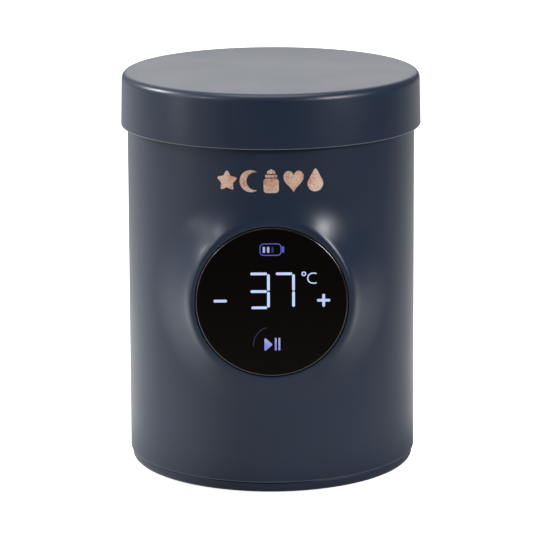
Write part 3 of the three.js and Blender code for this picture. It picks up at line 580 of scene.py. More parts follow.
def make_casing():
    """The outer shell: two skins joined at the window, the top edge and the bottom edge."""
    ledge_depth = 1.4 * MM
    ledge_front = LENS_BACK - GAP
    ledge_back = ledge_front - ledge_depth
    window_radius = LENS_RADIUS - 2.0 * MM
    pocket_radius = LENS_RADIUS + GAP
    edge = 0.3 * MM  # rounding of the casing's edges
    fairing_end = CREST_RADIUS + FAIRING_LENGTH + 1 * MM

    fine = np.arange(pocket_radius + edge, 30 * MM, 0.2 * MM)
    coarse = np.linspace(30 * MM, fairing_end, 16)
    sole = shell_low.z + SEAM_RISE
    foot = sole + LIP
    outer = Skin(0, LENS_FRONT, [*fine, *coarse], foot + edge / 4, shell_high.z - edge)
    inner_radii = [*np.linspace(window_radius, 30 * MM, 10), *np.linspace(31 * MM, fairing_end, 8)]
    inner = Skin(WALL, ledge_back, inner_radii, foot, shell_high.z)

    vertices = list(outer.vertices)
    faces = outer.faces()

    def add_row(points):
        first = len(vertices)
        vertices.extend(points)
        return list(range(first, len(vertices)))

    shift = len(vertices)
    vertices.extend(inner.vertices)
    faces += [tuple(index + shift for index in face) for face in inner.faces()]

    def around_axis(loop, inset, height):
        points = []
        for index in loop:
            x, y, z = vertices[index]
            factor = 1 - inset / math.hypot(x, y)
            points.append(Vector((x * factor, y * factor, height)))
        return add_row(points)

    half_edge = edge * (1 - math.sqrt(0.5))
    middle = around_axis(outer.top, half_edge, shell_high.z - half_edge)
    rim = around_axis(outer.top, edge, shell_high.z)
    faces += bridge(outer.top, middle) + bridge(middle, rim)
    faces += bridge(rim, [index + shift for index in inner.top])
    under = around_axis(outer.bottom, 0, foot)
    faces += bridge(outer.bottom, under)
    faces += bridge(under, [index + shift for index in inner.bottom])

    def around_display(radius, depth):
        side = Skin.SIDE
        points = []
        for place in range(4 * side):
            angle = 2 * math.pi * (place - side / 2) / (4 * side)
            points.append(Vector((radius * math.cos(angle), -depth, DISPLAY_Z + radius * math.sin(angle))))
        return add_row(points)

    mouth = [around_display(pocket_radius + half_edge, LENS_FRONT - half_edge),
             around_display(pocket_radius, LENS_FRONT - edge),
             around_display(pocket_radius, ledge_front),
             around_display(window_radius, ledge_front)]
    faces += bridge(outer.rings[0], mouth[0])
    for one, other in zip(mouth, mouth[1:]):
        faces += bridge(one, other)
    faces += bridge(mouth[-1], [index + shift for index in inner.rings[0]])

    casing = mesh_object("casing", vertices, faces)
    cut_port(casing)
    # A lighter ring at the shell's foot, just above the seam: a painted highlight line.
    edge_line = turned("shell_edge_line", [
        (BODY_RADIUS_LOW - WALL, foot, 0),
        (BODY_RADIUS_LOW - WALL, sole, 0),
        (BODY_RADIUS_LOW, sole, 0.1 * MM),
        (BODY_RADIUS_LOW, foot, 0),
    ], steps=3)
    dress(edge_line, "body", PAINTED_FOOT_HIGHLIGHT)
    return dress(casing, "body", NAVY, ["outer_shell"])


def cut_port(casing):
    """The recess of the port flap and of the pad below it, and the charging inlet's opening, at the back."""
    usb_low, usb_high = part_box("usb_port")
    port_z = (usb_low.z + usb_high.z) / 2
    half_width = (flap_high.x - flap_low.x) / 2 + GAP
    floor_radius = flap_high.y - FLAP_THICKNESS - GAP
    low, high = anchor_low.z - GAP, flap_high.z + GAP
    outside = 60 * MM  # past the casing's skin
    recess = turned("recess", [(floor_radius, low, 0), (outside, low, 0),
                               (outside, high, 0), (floor_radius, high, 0)], 256)
    sides = box_object("sides", (-half_width, 30 * MM, 0), (half_width, outside, outside))
    combine(recess, sides, "INTERSECT")
    combine(casing, recess, "DIFFERENCE")
    inlet_width, inlet_height = 4.9 * MM, 2.05 * MM  # half of each
    inlet = box_object("inlet", (-inlet_width, 38 * MM, port_z - inlet_height),
                       (inlet_width, 55 * MM, port_z + inlet_height))
    round_edges(inlet, 1.3 * MM, "Y")
    combine(casing, inlet, "DIFFERENCE")


def round_edges(piece, radius, along):
    """Rounds a box's four edges that run along one axis."""
    axis = "XYZ".index(along)
    work = open_mesh(piece)
    edges = [edge for edge in work.edges
             if abs((edge.verts[0].co - edge.verts[1].co).normalized()[axis]) > 0.99]
    bmesh.ops.bevel(work, geom=edges, offset=radius, segments=6, affect="EDGES", profile=0.5)
    close_mesh(work, piece.data)
    tidy_mesh(piece)


# ---- turned pieces of the body and lid

def make_lid_shell():
    """The lid's cap, its inner rib, and a lighter ring round the foot of its skirt, a painted highlight."""
    top = lid_high.z
    low = lid_low.z
    radius_low = lid_high.x
    radius_high = radius_low - 0.42 * MM
    bore = radius_low - 1.67 * MM
    # A lighter ring at the foot of the skirt: a painted highlight line.
    edge_line = turned("lid_edge_line", [
        (radius_low, low, 0.1 * MM),
        (radius_low, low + LIP, 0),
        (bore, low + LIP, 0),
        (bore, low, 0.1 * MM),
    ], steps=3)
    dress(edge_line, "lid", PAINTED_SKIRT_HIGHLIGHT)
    inside = top - 2.0 * MM
    rib_low = liner_high.z + GAP
    rib_inner, rib_outer = 42.6 * MM, 44.2 * MM
    lid = turned("lid_cap", [
        (0, top, 0),
        (radius_high, top, 2.4 * MM),
        (radius_low, low + LIP, 0),
        (bore, low + LIP, 0),
        (bore, inside, 1.5 * MM),
        (rib_outer, inside, 0),
        (rib_outer, rib_low, 0.2 * MM),
        (rib_inner, rib_low, 0.2 * MM),
        (rib_inner, inside, 0),
        (0, inside, 0),
    ], steps=9)
    return dress(lid, "lid", NAVY, ["lid_shell"])


def make_lid_liner():
    """The plug that goes into the cup's mouth, with the groove of its seal."""
    plug = seal_high.x - 0.6 * MM
    flange = liner_high.x
    flange_low = liner_high.z - 1.3 * MM
    hollow = plug - 2.3 * MM
    floor = liner_low.z + 1.8 * MM
    groove = plug - 0.7 * MM
    liner = turned("lid_plug", [
        (0, liner_low.z, 0),
        (plug, liner_low.z, 0.8 * MM),
        (plug, seal_low.z - GAP, 0.15 * MM),
        (groove, seal_low.z - GAP, 0),
        (groove, seal_high.z + GAP, 0),
        (plug, seal_high.z + GAP, 0.15 * MM),
        (plug, flange_low, 0.5 * MM),
        (flange, flange_low, 0.3 * MM),
        (flange, liner_high.z, 0.2 * MM),
        (hollow, liner_high.z, 0.3 * MM),
        (hollow, floor, 0.8 * MM),
        (0, floor, 0),
    ])
    return dress(liner, "lid", DARK_PLASTIC, ["lid_liner"])


def make_lid_seal():
    """A silicone ring with two soft lips that wipe the cup's wall."""
    inner = seal_high.x - 1.0 * MM
    outer = seal_high.x
    valley = outer - 0.35 * MM
    low, high = seal_low.z, seal_high.z
    third = (high - low) / 3
    seal = turned("lid_seal_ring", [
        (inner, low, 0.1 * MM),
        (outer, low, 0.3 * MM),
        (outer, low + third, 0.3 * MM),
        (valley, low + 1.4 * third, 0.1 * MM),
        (valley, low + 1.6 * third, 0.1 * MM),
        (outer, low + 2 * third, 0.3 * MM),
        (outer, high, 0.3 * MM),
        (inner, high, 0.1 * MM),
    ], steps=3)
    return dress(seal, "lid", SILICONE, ["lid_seal"])


def make_rim_collar():
    """The trim ring at the cup's mouth, with a skirt that holds it in the casing."""
    lip = cup_radius() + 0.4 * MM
    outer = collar_high.x
    ledge = shell_high.z + GAP
    skirt = BODY_RADIUS_LOW - WALL - 0.4 * MM
    skirt_inner = 42 * MM
    inner_lip = lip + 0.8 * MM
    flange_top = cup_high.z + GAP
    collar = turned("rim_trim", [
        (lip, flange_top, 0.1 * MM),
        (inner_lip, flange_top, 0.1 * MM),
        (inner_lip, shell_high.z, 0),
        (skirt_inner, shell_high.z, 0),
        (skirt_inner, collar_low.z, 0.2 * MM),
        (skirt, collar_low.z, 0.4 * MM),
        (skirt, ledge, 0),
        (outer, ledge, 0.2 * MM),
        (outer, collar_high.z, 0.6 * MM),
        (lip, collar_high.z, 0.8 * MM),
    ])
    return dress(collar, "body", DARK_PLASTIC, ["rim_collar"])


def cup_radius():
    return seal_high.x + GAP


def make_cup():
    """The stainless cup, deep drawn: a soft corner round its floor and a flat flange round its mouth."""
    sheet = 0.8 * MM
    inside = cup_radius()
    floor = cup_low.z + sheet
    top = cup_high.z
    cup = turned("warming_cup", [
        (0, floor, 0),
        (14 * MM, floor, 0),
        (16 * MM, floor + 0.5 * MM, 0.8 * MM),
        (19 * MM, floor + 0.5 * MM, 0.8 * MM),
        (21 * MM, floor, 0.8 * MM),
        (inside, floor, 4.0 * MM),
        (inside, top, 0.5 * MM),
        (cup_high.x, top, 0.3 * MM),
        (cup_high.x, top - sheet, 0.3 * MM),
        (inside + sheet, top - sheet, 0.3 * MM),
        (inside + sheet, cup_low.z, 4.8 * MM),
        (0, cup_low.z, 0),
    ], steps=8)
    return dress(cup, "body", STEEL, ["cup_liner"])


def make_gasket():
    inner = 38.4 * MM
    gasket = turned("mouth_gasket", [
        (inner, gasket_low.z, 0.3 * MM),
        (gasket_high.x, gasket_low.z, 0.3 * MM),
        (gasket_high.x, gasket_high.z, 0.3 * MM),
        (inner, gasket_high.z, 0.3 * MM),
    ], steps=3)
    return dress(gasket, "body", SILICONE, ["cup_gasket"])


def make_foot_ring():
    """The silicone ring that it stands on, with two shallow grooves in its sole."""
    inner, outer = FOOT_INNER, foot_high.x
    width = (outer - inner) / 5
    sole = foot_low.z
    groove = sole + 0.3 * MM
    corners = [(inner, foot_high.z, 0.1 * MM), (inner, sole, 0.2 * MM)]
    for place in (1, 3):
        corners += [
            (inner + place * width, sole, 0.1 * MM),
            (inner + (place + 0.3) * width, groove, 0),
            (inner + (place + 0.7) * width, groove, 0),
            (inner + (place + 1) * width, sole, 0.1 * MM),
        ]
    corners += [(outer, sole, 0.2 * MM), (outer, foot_high.z, 0.1 * MM)]
    ring = turned("standing_ring", corners, steps=2)
    return dress(ring, "body", SILICONE, ["foot_ring"])


def make_base_cover():
    """The bottom cover, with the foot ring's groove and four counterbored screw holes."""
    under = base_low.z
    top = shell_low.z - GAP
    groove_top = foot_high.z + GAP
    rim = BODY_RADIUS_LOW - WALL - GAP
    rim_inner = 42.5 * MM
    cover = turned("base_plate", [
        (0, under, 0),
        (FOOT_INNER - GAP, under, 0.15 * MM),
        (FOOT_INNER - GAP, groove_top, 0),
        (foot_high.x + GAP, groove_top, 0),
        (foot_high.x + GAP, under, 0.1 * MM),
        (base_high.x, under, 1.7 * MM),
        (base_high.x, top + SEAM_RISE, 0.25 * MM),
        (rim, top + SEAM_RISE, 0),
        (rim, base_high.z, 0.3 * MM),
        (rim_inner, base_high.z, 0.3 * MM),
        (rim_inner, top, 0),
        (0, top, 0),
    ])
    screw_head, screw_shank = (3.3 * MM, 1.9 * MM), (1.6 * MM, top + MM)  # radius and depth of each bore
    for number in range(1, 5):
        low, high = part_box(f"base_screw_{number}")
        centre = (low + high) / 2
        for radius, reach in (screw_head, screw_shank):
            bore = turned("bore", [(0, -MM, 0), (radius, -MM, 0), (radius, reach, 0), (0, reach, 0)], 48)
            bore.data.transform(Matrix.Translation((centre.x, centre.y, 0)))
            combine(cover, bore, "DIFFERENCE")
    return dress(cover, "body", BASE_NAVY, ["base_cover"])


# ---- display

def make_lens():
    """The black window, and the polished bevel that runs round it."""
    face_radius = LENS_RADIUS - BEVEL
    lens = turned("display_window", [
        (0, LENS_BACK, 0),
        (face_radius, LENS_BACK, 0),
        (face_radius, LENS_FRONT, 0),
        (0, LENS_FRONT, 0),
    ])
    facing_front(lens)
    dress(lens, "body", WINDOW, ["display_lens"])
    bevel = turned("window_bevel", [
        (face_radius, LENS_BACK, 0),
        (LENS_RADIUS, LENS_BACK, 0.1 * MM),
        (LENS_RADIUS, LENS_FRONT, 0.9 * BEVEL),
        (face_radius, LENS_FRONT, 0),
    ], steps=7)
    facing_front(bevel)
    return dress(bevel, "body", WINDOW_BEVEL)


def arc_points(centre, radius, start, end, steps):
    """Points on an arc in the display's plane; angles in degrees."""
    points = []
    for step in range(steps + 1):
        angle = math.radians(start + (end - start) * step / steps)
        points.append((centre[0] + radius * math.cos(angle), centre[1] + radius * math.sin(angle)))
    return points


def rounded_outline(corners, radius, steps=6):
    """A closed outline in a plane with every corner rounded."""
    return [tuple(point) for point in rounded([(x, y, radius) for x, y in corners], steps)]


def rectangle(left, low, right, high):
    return [(left, low), (right, low), (right, high), (left, high)]


def stroke(points, width, closed=False):
    """The outline of a line of some width: an outer loop and, when closed, a hole."""
    path = [Vector(point) for point in points]
    count = len(path)
    sides = []
    for way in (1, -1):
        side = []
        for place, point in enumerate(path):
            before = path[place - 1] if closed or place > 0 else point
            after = path[(place + 1) % count] if closed or place < count - 1 else point
            along = (after - before).normalized()
            side.append(tuple(point + Vector((-along.y, along.x)) * way * width / 2))
        sides.append(side)
    if closed:
        return sides
    middle_end = path[-1] + (path[-1] - path[-2]).normalized() * width / 2
    middle_start = path[0] + (path[0] - path[1]).normalized() * width / 2
    return [sides[0] + [tuple(middle_end)] + sides[1][::-1] + [tuple(middle_start)]]


def flat_slab(loops, thickness):
    """A thin closed slab in the XY plane: the first loop is its outline and the others are holes."""
    work = bmesh.new()
    edges = []
    for loop in loops:
        corners = [work.verts.new((x, y, 0)) for x, y in loop]
        edges += [work.edges.new((corners[i], corners[(i + 1) % len(corners)])) for i in range(len(corners))]
    bmesh.ops.triangle_fill(work, use_beauty=True, edges=edges)
    bmesh.ops.recalc_face_normals(work, faces=work.faces)
    made = bmesh.ops.extrude_face_region(work, geom=work.faces[:])
    lifted = [part for part in made["geom"] if isinstance(part, bmesh.types.BMVert)]
    bmesh.ops.translate(work, verts=lifted, vec=(0, 0, thickness))
    bmesh.ops.recalc_face_normals(work, faces=work.faces)
    return work


def slab_object(name, shapes, thickness):
    """One object of several slabs; each shape is a list of loops in millimetres."""
    mesh = bpy.data.meshes.new(name)
    whole = bmesh.new()
    for loops in shapes:
        scaled = [[(x * MM, y * MM) for x, y in loop] for loop in loops]
        part = flat_slab(scaled, thickness)
        close_mesh(part, mesh)
        whole.from_mesh(mesh)
    close_mesh(whole, mesh)
    piece = add_object(name, mesh)
    tidy_mesh(piece)
    return piece


SYMBOL_LIFT = 0.012 * MM  # half a lit symbol's thickness, and how far it stands off the window
SYMBOL_SHIFT = (0.30 * MM, 0.38 * MM)  # right of and above the window's centre


def place_symbol(name, shapes, material):
    symbol = slab_object(name, shapes, 2 * SYMBOL_LIFT)
    symbol.data.transform(Matrix.Translation((*SYMBOL_SHIFT, LENS_FRONT - SYMBOL_LIFT)))
    facing_front(symbol)
    return dress(symbol, "body", material)


def pill(left, low, right, high, radius=None):
    """A bar with rounded corners; without a radius its ends are nearly half circles."""
    if radius is None:
        radius = 0.49 * min(right - left, high - low)
    return [rounded_outline(rectangle(left, low, right, high), radius)]


# Sizes on the display are in millimetres from its centre.
SEGMENT = 0.86  # across a digit's segment
DIGIT_TOP = 8.9
DIGIT_MIDDLE = 3.2
DIGIT_LOW = -2.05


def lying(left, right, height):
    """A lit digit's segment that lies level."""
    return pill(left, height - SEGMENT / 2, right, height + SEGMENT / 2)


def standing(place, low, high):
    """A lit digit's segment that stands upright."""
    return pill(place - SEGMENT / 2, low, place + SEGMENT / 2, high)


def make_digits():
    """A two-digit temperature in segments. Each upright has a small gap at the digit's middle."""
    left, right = -6.95, -1.32
    high_part = (DIGIT_MIDDLE + 0.25, DIGIT_TOP - 0.15)
    low_part = (DIGIT_LOW + 0.1, DIGIT_MIDDLE - 0.1)
    tens = [lying(left, right - 0.4, DIGIT_TOP), lying(left, right - 0.45, DIGIT_MIDDLE),
            lying(-6.7, right - 0.4, DIGIT_LOW), standing(right, *high_part), standing(right, *low_part)]
    place_symbol("digit_tens", tens, LIT)
    left, right = 1.0, 6.55
    units = [lying(left, right - 0.4, DIGIT_TOP), standing(right, *high_part),
             standing(right, DIGIT_LOW + 0.3, DIGIT_MIDDLE + 0.05)]
    place_symbol("digit_units", units, LIT)


def make_battery():
    """A battery with its terminal and three bars, the last one dim."""
    outline = rounded_outline(rectangle(-3.9, 14.85, 2.7, 18.5), 1.15)
    terminal = pill(2.95, 15.7, 3.65, 17.7, 0.22)
    place_symbol("battery_symbol", [stroke(outline, 0.3, closed=True), terminal], LIT_LOW)
    for number, left in enumerate((-3.05, -1.7, -0.35)):
        bar = pill(left, 15.65, left + 0.72, 17.55, 0.2)
        place_symbol(f"battery_bar_{number + 1}", [bar], LIT_BAR if number < 2 else LIT_DIM)


def make_unit():
    """The degree sign and a C with slightly flared ends."""
    place_symbol("degree_ring", [stroke(arc_points((9.8, 8.85), 0.57, 0, 345, 23), 0.38, closed=True)], LIT)
    bow = arc_points((12.6, 7.45), 1.6, 105, 255, 16)
    letter = [(13.7, 8.95), (13.1, 9.1), *bow, (13.1, 5.8), (13.7, 5.95)]
    place_symbol("celsius_mark", [stroke(letter, 0.38)], LIT)


def make_touch_marks():
    """The minus, plus and play/pause signs over the touch keys."""
    place_symbol("minus_symbol", [pill(-18.6, -0.28, -14.35, 0.62)], LIT_MARK)
    centre_x, centre_y, reach, half = 16.0, 0.3, 2.1, 0.44
    level = pill(centre_x - reach, centre_y - half, centre_x + reach, centre_y + half)
    upright = pill(centre_x - half, centre_y - reach, centre_x + half, centre_y + reach)
    place_symbol("plus_symbol", [level, upright], LIT_MARK)
    triangle = rounded_outline([(-2.65, -16.35), (-0.05, -14.0), (-2.65, -11.6)], 0.3)
    place_symbol("play_symbol", [[triangle]], LIT_KEY)
    pause = [pill(left, -15.9, left + 0.58, -11.8, 0.22) for left in (0.62, 1.75)]
    place_symbol("pause_symbol", pause, LIT_KEY)
    halo = arc_points((-0.25, -14.1), 5.85, 108, 184, 24)
    place_symbol("key_halo", [stroke(halo, 0.3)], LIT_FAINT)


# ---- foil motif

def blob(big_radius, small_radius, apart):
    """The outline round two circles, one above the other: a drop, or a teat."""
    lean = math.degrees(math.acos((big_radius - small_radius) / apart))
    belly = arc_points((0, 0), big_radius, 90 + lean, 450 - lean, 24)
    return belly + arc_points((0, apart), small_radius, 90 - lean, 90 + lean, 8)


def heart():
    points = []
    for step in range(48):
        turn = 2 * math.pi * step / 48
        height = 13 * math.cos(turn) - 5 * math.cos(2 * turn) - 2 * math.cos(3 * turn) - math.cos(4 * turn)
        points.append((3.2 * math.sin(turn) ** 3, 0.24 * height + 0.35))
    return [points]


def star():
    corners = []
    for step in range(10):
        reach = 3.75 if step % 2 == 0 else 2.0
        turn = math.pi / 2 + math.pi * step / 5
        fillet = 0.45 if step % 2 == 0 else 0.25
        corners.append((reach * math.cos(turn), reach * math.sin(turn), fillet))
    return [[tuple(point) for point in rounded(corners, 4)]]


def moon():
    """A crescent: the outer arc of one circle, and back along a smaller one set to its right."""
    outer = arc_points((0.6, 0), 3.5, 55, 305, 30)
    inner = arc_points((2.15, 0), 2.87, 273, 87, 24)
    return [outer + inner]


def moved(loops, x, y):
    return [[(px + x, py + y) for px, py in loop] for loop in loops]


def bottle():
    """A baby bottle, upright: body, collar ring and teat, with a fine gap between them."""
    body = rounded_outline(rectangle(-2.4, -3.7, 2.4, 0.9), 1.0)
    collar = rounded_outline(rectangle(-1.9, 1.2, 1.9, 2.05), 0.25)
    teat = [(-1.4, 2.35), (1.4, 2.35), *arc_points((0, 2.45), 1.35, 0, 50, 5),
            *arc_points((0, 3.35), 0.5, 15, 165, 8), *arc_points((0, 2.45), 1.35, 130, 180, 5)]
    return [[body], [collar], [teat]]


def make_foil():
    """Five nursery shapes on the front under the lid, wrapped on the cylinder."""
    middle_z = 101.9
    pitch = 7.0
    shapes = moved(star(), -2 * pitch, -0.2), moved(moon(), -pitch, 0), moved(heart(), pitch, 0)
    shapes = [*shapes, *bottle(), moved([blob(2.55, 0.5, 4.2)], 2 * pitch, -1.1)]
    motif = slab_object("foil_motif", shapes, 0.06 * MM)
    work = open_mesh(motif)
    slice_across(work, [step * MM for step in range(-18, 19)])
    for vertex in work.verts:
        height = middle_z * MM + vertex.co.y
        radius = body_radius(height)
        angle = vertex.co.x / radius
        depth = radius + vertex.co.z - 0.02 * MM
        vertex.co = (depth * math.sin(angle), -depth * math.cos(angle), height)
    close_mesh(work, motif.data)
    tidy_mesh(motif)
    return dress(motif, "body", FOIL)


# ---- insulation felt

def bore_of(node):
    """The radius of the hole through a CAD node that surrounds the Z axis."""
    return min(math.hypot(corner.co.x, corner.co.y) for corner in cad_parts[node].data.vertices)


def ruffled(piece, depth, waves, rise):
    """Draws a felt piece's skin in a little, in soft waves round it and up it, and never outward."""
    for corner in piece.data.vertices:
        x, y, z = corner.co
        reach = math.hypot(x, y)
        turn = math.atan2(x, -y)
        wave = 0.5 + 0.25 * math.sin(waves * turn + 90 * z) + 0.25 * math.sin((waves + 4) * turn - rise * z)
        factor = 1 - depth * wave * min(1, reach / (10 * MM)) / max(reach, MM)
        corner.co = (x * factor, y * factor, z)


def make_sleeve():
    """The felt wrapped round the cup's heating film, with a butt seam at the back."""
    low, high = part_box("insulation_sleeve")
    inner, outer = bore_of("insulation_sleeve") + 0.1 * MM, high.x
    fillet = 0.4 * (outer - inner)
    middle = (low.z + high.z) / 2
    sleeve = turned("felt_sleeve", [
        (inner, low.z, fillet), (outer, low.z, fillet), (outer, (low.z + middle) / 2, 0), (outer, middle, 0),
        (outer, (middle + high.z) / 2, 0), (outer, high.z, fillet), (inner, high.z, fillet),
    ], 192)
    ruffled(sleeve, 0.12 * MM, 9, 160)
    seam = box_object("seam", (-0.35 * MM, inner - MM, low.z - MM), (0.35 * MM, outer + MM, high.z + MM))
    combine(sleeve, seam, "DIFFERENCE")
    dress(sleeve, "body", FELT, ["insulation_sleeve"])


def make_disc():
    """The felt under the heating plate, cut out round the thermal sensor and the fuse."""
    low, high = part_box("insulation_disc")
    fuse_low, fuse_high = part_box("thermal_fuse")
    hole = bore_of("insulation_disc")
    third = (high.x - hole) / 3
    fillet = 0.35 * (high.z - low.z)
    disc = turned("felt_disc", [
        (hole, low.z, fillet / 2), (hole + third, low.z, 0),
        (hole + 2 * third, low.z, 0), (high.x, low.z, fillet),
        (high.x, high.z, fillet), (hole + 2 * third, high.z, 0),
        (hole + third, high.z, 0), (hole, high.z, fillet / 2),
    ], 128)
    ruffled(disc, 0.12 * MM, 7, 160)
    room = 0.3 * MM + GAP
    slot_tool = box_object("fuse_slot", (fuse_low.x - 4 * room, fuse_low.y - 2 * room, low.z - MM),
                           (fuse_high.x + 4 * room, fuse_high.y + 2 * room, high.z + MM))
    combine(disc, slot_tool, "DIFFERENCE")
    dress(disc, "body", FELT, ["insulation_disc"])


def make_lid_pad():
    """The felt puck in the lid's hollow, a little crowned."""
    low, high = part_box("lid_insulation")
    radius = high.x
    corners = [(0, low.z, 0), (radius, low.z, 1.2 * MM)]
    for share in (1.0, 0.9, 0.75, 0.55, 0.3, 0.0):
        crown = high.z - 0.8 * MM * share**4
        corners.append((radius * share, crown, 0.5 * MM if share == 1.0 else 0))
    pad = turned("felt_lid_pad", corners, 128)
    ruffled(pad, 0.15 * MM, 8, 160)
    dress(pad, "lid", FELT, ["lid_insulation"])


# ---- charging port cover

def curved_tab(name, low, high):
    """A pad that follows the cylinder at the back, with softened edges."""
    outer = flap_high.y
    half_width = (flap_high.x - flap_low.x) / 2
    columns = 40
    edge = 0.3 * MM
    outline = rounded_outline(rectangle(-half_width, low, half_width, high), 0.9 * MM)
    work = flat_slab([outline], FLAP_THICKNESS)
    slice_across(work, [-half_width + 2 * half_width * column / columns for column in range(1, columns)])
    rim = [side for side in work.edges if len(side.link_faces) == 2 and side.calc_face_angle(0) > 1.0]
    bmesh.ops.bevel(work, geom=rim, offset=edge, segments=3, affect="EDGES", profile=0.5)
    for vertex in work.verts:
        x, height, lift = vertex.co
        radius = outer - FLAP_THICKNESS + lift
        angle = x / outer
        vertex.co = (radius * math.sin(angle), radius * math.cos(angle), height)
    mesh = bpy.data.meshes.new(name)
    close_mesh(work, mesh)
    piece = add_object(name, mesh)
    tidy_mesh(piece, 50)
    return piece


def make_port_cover():
    """The flap over the charging inlet, and the pad below it whose stem plugs into the casing.

    Known fault: the pad takes its height from the whole box of the frame's anchor, the stem's head included.
    It should be as tall as the anchor's outer face. As it is, it runs 0.65 mm into the flap.
    """
    flap = curved_tab("flap_pad", flap_low.z, flap_high.z)
    dress(flap, "port_flap", SILICONE, ["port_flap"])
    anchor = curved_tab("flap_anchor_pad", anchor_low.z, anchor_high.z)
    head, shank = 2.2 * MM, 1.2 * MM
    head_end, shank_end = 1.3 * MM, 4.6 * MM
    stem = turned("stem", [(0, 0, 0), (head, 0, 0.3 * MM), (head, head_end, 0),
                           (shank, head_end, 0), (shank, shank_end, 0), (0, shank_end, 0)], 32)
    place = Matrix.Translation((0, anchor_low.y, (anchor_low.z + anchor_high.z) / 2))
    stem.data.transform(place @ Matrix.Rotation(-math.pi / 2, 4, "X"))
    combine(anchor, stem, "UNION", 50)
    dress(anchor, "body", SILICONE, ["port_flap_anchor"])
    make_strap()


def make_strap():
    """A silicone web blended between the pad that stays and the flap that swings.

    Known fault: the anchor's box reaches above the flap's foot, so the web is only 0.05 mm tall, and the two
    places that its blend runs between are in reversed order.
    """
    rows, columns = 10, 24
    half_width, thickness = 4.2 * MM, 0.6 * MM
    low, high = anchor_high.z - 0.35 * MM, flap_low.z + 0.35 * MM
    outer = flap_high.y - 0.35 * MM
    vertices = []
    for radius in (outer, outer - thickness):
        for row in range(rows + 1):
            for column in range(columns + 1):
                angle = half_width * (2 * column / columns - 1) / outer
                height = low + (high - low) * row / rows
                vertices.append((radius * math.sin(angle), radius * math.cos(angle), height))
    across = columns + 1
    layer = across * (rows + 1)
    faces = []
    for row in range(rows):
        for column in range(columns):
            corner = row * across + column
            face = (corner, corner + 1, corner + across + 1, corner + across)
            faces += [face, tuple(index + layer for index in face)]
    for row in range(rows):
        for side in (row * across, row * across + columns):
            faces.append((side, side + across, side + across + layer, side + layer))
    for column in range(columns):
        for end in (column, rows * across + column):
            faces.append((end, end + 1, end + 1 + layer, end + layer))
    strap = mesh_object("flap_hinge_web", vertices, faces)
    strap.data.materials.append(SILICONE)
    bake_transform(strap)


# ---- camera, floor and light

def make_camera():
    """The viewing angle: a long lens a little above the lid, looking down at the display."""
    camera = add_object("camera", bpy.data.cameras.new("camera"))
    camera.data.sensor_width = 36
    camera.data.lens = 198.72
    camera.data.clip_end = 20
    camera.location = (-0.0005, -0.9555, 0.2884)
    pitch, roll = math.radians(13.30), math.radians(-0.263)
    turn = Matrix.Rotation(math.pi / 2 - pitch, 3, "X") @ Matrix.Rotation(roll, 3, "Z")
    camera.rotation_euler = turn.to_euler()
    bpy.context.scene.camera = camera


def make_floor():
    """A pale floor. The camera sees it plain; the object mirrors a studio whose front is dark."""
    half = 3.0
    floor = mesh_object("floor", [(-half, -half, 0), (half, -half, 0), (half, half, 0), (-half, half, 0)],
                        [(0, 1, 2, 3)])
    sheet = Sheet("floor")
    sheet.fixed(Base_Color=(0.82, 0.82, 0.82, 1), Emission_Color=(1, 1, 1, 1), Emission_Strength=0.9,
                Specular_IOR_Level=0.1)
    sheet.gloss(sheet.noise(9, detail=3), 0.6, 0.7)
    tree = sheet.material.node_tree
    glow = sheet.node("Emission", {"Strength": studio_glow(tree, sheet.place, FLOOR_GLOWS)})
    show_camera(tree, glow, sheet.shader.outputs["BSDF"], sheet.nodes["Material Output"])
    floor.data.materials.append(sheet.material)


# Each glow is (what it follows, where it is nothing, where it is full, its strength at full). It follows
# either the cosine of the angle to a level direction, or the distance in metres from the object's axis.
# A negative strength darkens.
BACK, LEFT = (0, 1, 0), (-1, 0, 0)
DISTANCE = "distance"
FLOOR_GLOWS = [(BACK, -1.0, 0.3, 0.07), (BACK, 0.0, 1.0, 0.58), (LEFT, 0.2, 1.0, 0.45),
               (DISTANCE, 0.34, 0.18, 0.24), (DISTANCE, 0.60, 0.15, 0.30), (DISTANCE, 0.085, 0.055, -0.3)]
WORLD_GLOWS = [(BACK, 0.0, 1.0, 0.20), (LEFT, 0.0, 1.0, 0.39)]


def studio_glow(tree, place, glows):
    """How bright the studio is at a place on its floor, or in a direction of its backdrop."""

    def vector_math(operation, source, second=(0, 0, 0), output="Vector"):
        return add_node(tree, "VectorMath", {0: source}, {1: second}, output, operation=operation)

    level = vector_math("MULTIPLY", place, (1, 1, 0))
    heading = vector_math("NORMALIZE", level)
    total = None
    for follows, nothing, full, strength in glows:
        if follows == DISTANCE:
            value = vector_math("LENGTH", level, output="Value")
        else:
            value = vector_math("DOT_PRODUCT", heading, follows, "Value")
        (start, start_glow), (end, end_glow) = sorted([(nothing, 0), (full, strength)])
        fixed = {"From Min": start, "From Max": end, "To Min": start_glow, "To Max": end_glow}
        glow = add_node(tree, "MapRange", {"Value": value}, fixed, "Result", interpolation_type="SMOOTHSTEP")
        if total is not None:
            glow = add_node(tree, "Math", {0: total, 1: glow}, output="Value")
        total = glow
    return total


def show_camera(tree, mirrored, plain, output):
    """Shows the camera the plain shader, and lets the object mirror the other one."""
    seen = add_node(tree, "LightPath", {}, output="Is Camera Ray")
    mixed = add_node(tree, "MixShader", {0: seen, 1: mirrored, 2: plain}, output="Shader")
    tree.links.new(mixed, output.inputs["Surface"])


LAMP_DISTANCE = 1.2
AIM = Vector((0, 0, 0.06))  # what the lamps face, just under the object's middle


def softbox(name, direction, size, power):
    """A square or oblong lamp that faces the object."""
    light = bpy.data.lights.new(name, "AREA")
    light.shape = "RECTANGLE"
    light.size, light.size_y = size
    light.energy = power
    lamp = add_object(name, light)
    away = Vector(direction).normalized() * LAMP_DISTANCE
    lamp.location = away + AIM
    lamp.rotation_euler = (-away).to_track_quat("-Z", "Y").to_euler()


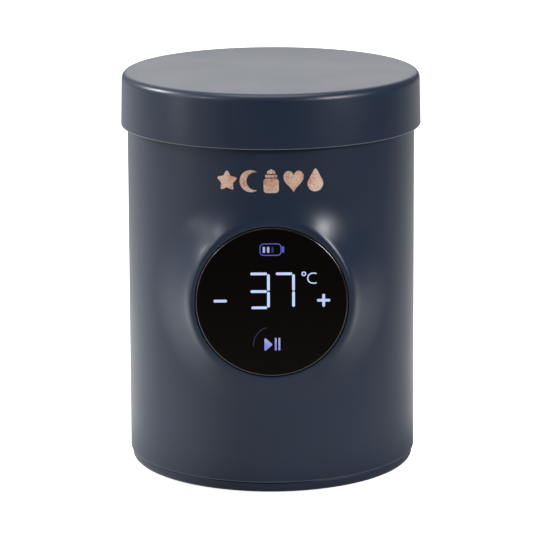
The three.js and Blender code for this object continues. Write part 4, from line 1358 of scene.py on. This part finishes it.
def make_lights():
    softbox("left_key", (-0.83, 0.20, 0.52), (0.3, 0.3), 9.5)
    softbox("left_fill", (-0.95, -0.30, 0.20), (0.25, 0.7), 1.3)
    softbox("left_glint", (-0.72, -0.49, 0.49), (0.2, 0.2), 1.6)
    softbox("right_key", (0.68, -0.59, 0.44), (0.3, 0.3), 5.4)
    softbox("right_fill", (0.78, -0.45, 0.45), (0.35, 0.6), 3.6)
    softbox("back_softbox", (0, 0.85, 0.50), (0.9, 0.9), 3.1)
    softbox("top_softbox", (0, 0, 1), (0.8, 0.8), 5.5)
    world = bpy.data.worlds.new("studio")
    bpy.context.scene.world = world
    world.use_nodes = True
    tree = world.node_tree
    place = add_node(tree, "TexCoord", {}, output="Generated")
    glow = tree.nodes["Background"]
    glow.inputs["Color"].default_value = (1, 1, 1, 1)
    tree.links.new(studio_glow(tree, place, WORLD_GLOWS), glow.inputs["Strength"])
    plain = add_node(tree, "Background", {}, {"Color": (1, 1, 1, 1)})
    show_camera(tree, glow.outputs["Background"], plain, tree.nodes["World Output"])
    bpy.context.scene.view_settings.view_transform = "Standard"


# ---- carried-over CAD nodes

NODE_LOOKS = [
    (DARK_PLASTIC, ["battery_tray", "inner_chassis", "display_mask"]),
    (NICKEL, ["nickel_strip_left", "nickel_strip_right"]),
    (BOARD, ["main_board", "display_board"]),
    (CHIP, ["control_chip", "power_inductor", "buzzer", "display_driver_chip", "thermal_sensor",
            "touch_pad_minus", "touch_pad_plus", "touch_pad_play"]),
    (ALUMINIUM, ["filter_capacitor", "heater_plate"]),
    (WHITE_PLASTIC, ["battery_connector", "heater_connector", "display_connector", "display_ribbon",
                     "thermal_fuse"]),
    (PORT_STEEL, ["usb_port"]),
    (HEATER, ["heater_film"]),
    (RED_LEAD, ["battery_lead_red", "heater_lead_1", "heater_lead_2"]),
    (BLACK_LEAD, ["battery_lead_black"]),
    (CELL_WRAP, [f"battery_cell_{number}" for number in range(1, 4)]),
    (SCREW_STEEL, [f"{place}_screw_{number}" for place in ("base", "board") for number in range(1, 5)]),
]


def dress_cad_nodes():
    """Gives the CAD nodes that stay their materials."""
    for material, names in NODE_LOOKS:
        for name in names:
            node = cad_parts[name]
            node.data.materials.clear()
            node.data.materials.append(material)


# ---- build

make_camera()
make_casing()
make_base_cover()
make_foot_ring()
make_cup()
make_gasket()
make_rim_collar()
make_lid_shell()
make_lid_liner()
make_lid_seal()
make_lens()
make_digits()
make_battery()
make_unit()
make_touch_marks()
make_foil()
make_port_cover()
make_sleeve()
make_disc()
make_lid_pad()
dress_cad_nodes()
make_floor()
make_lights()
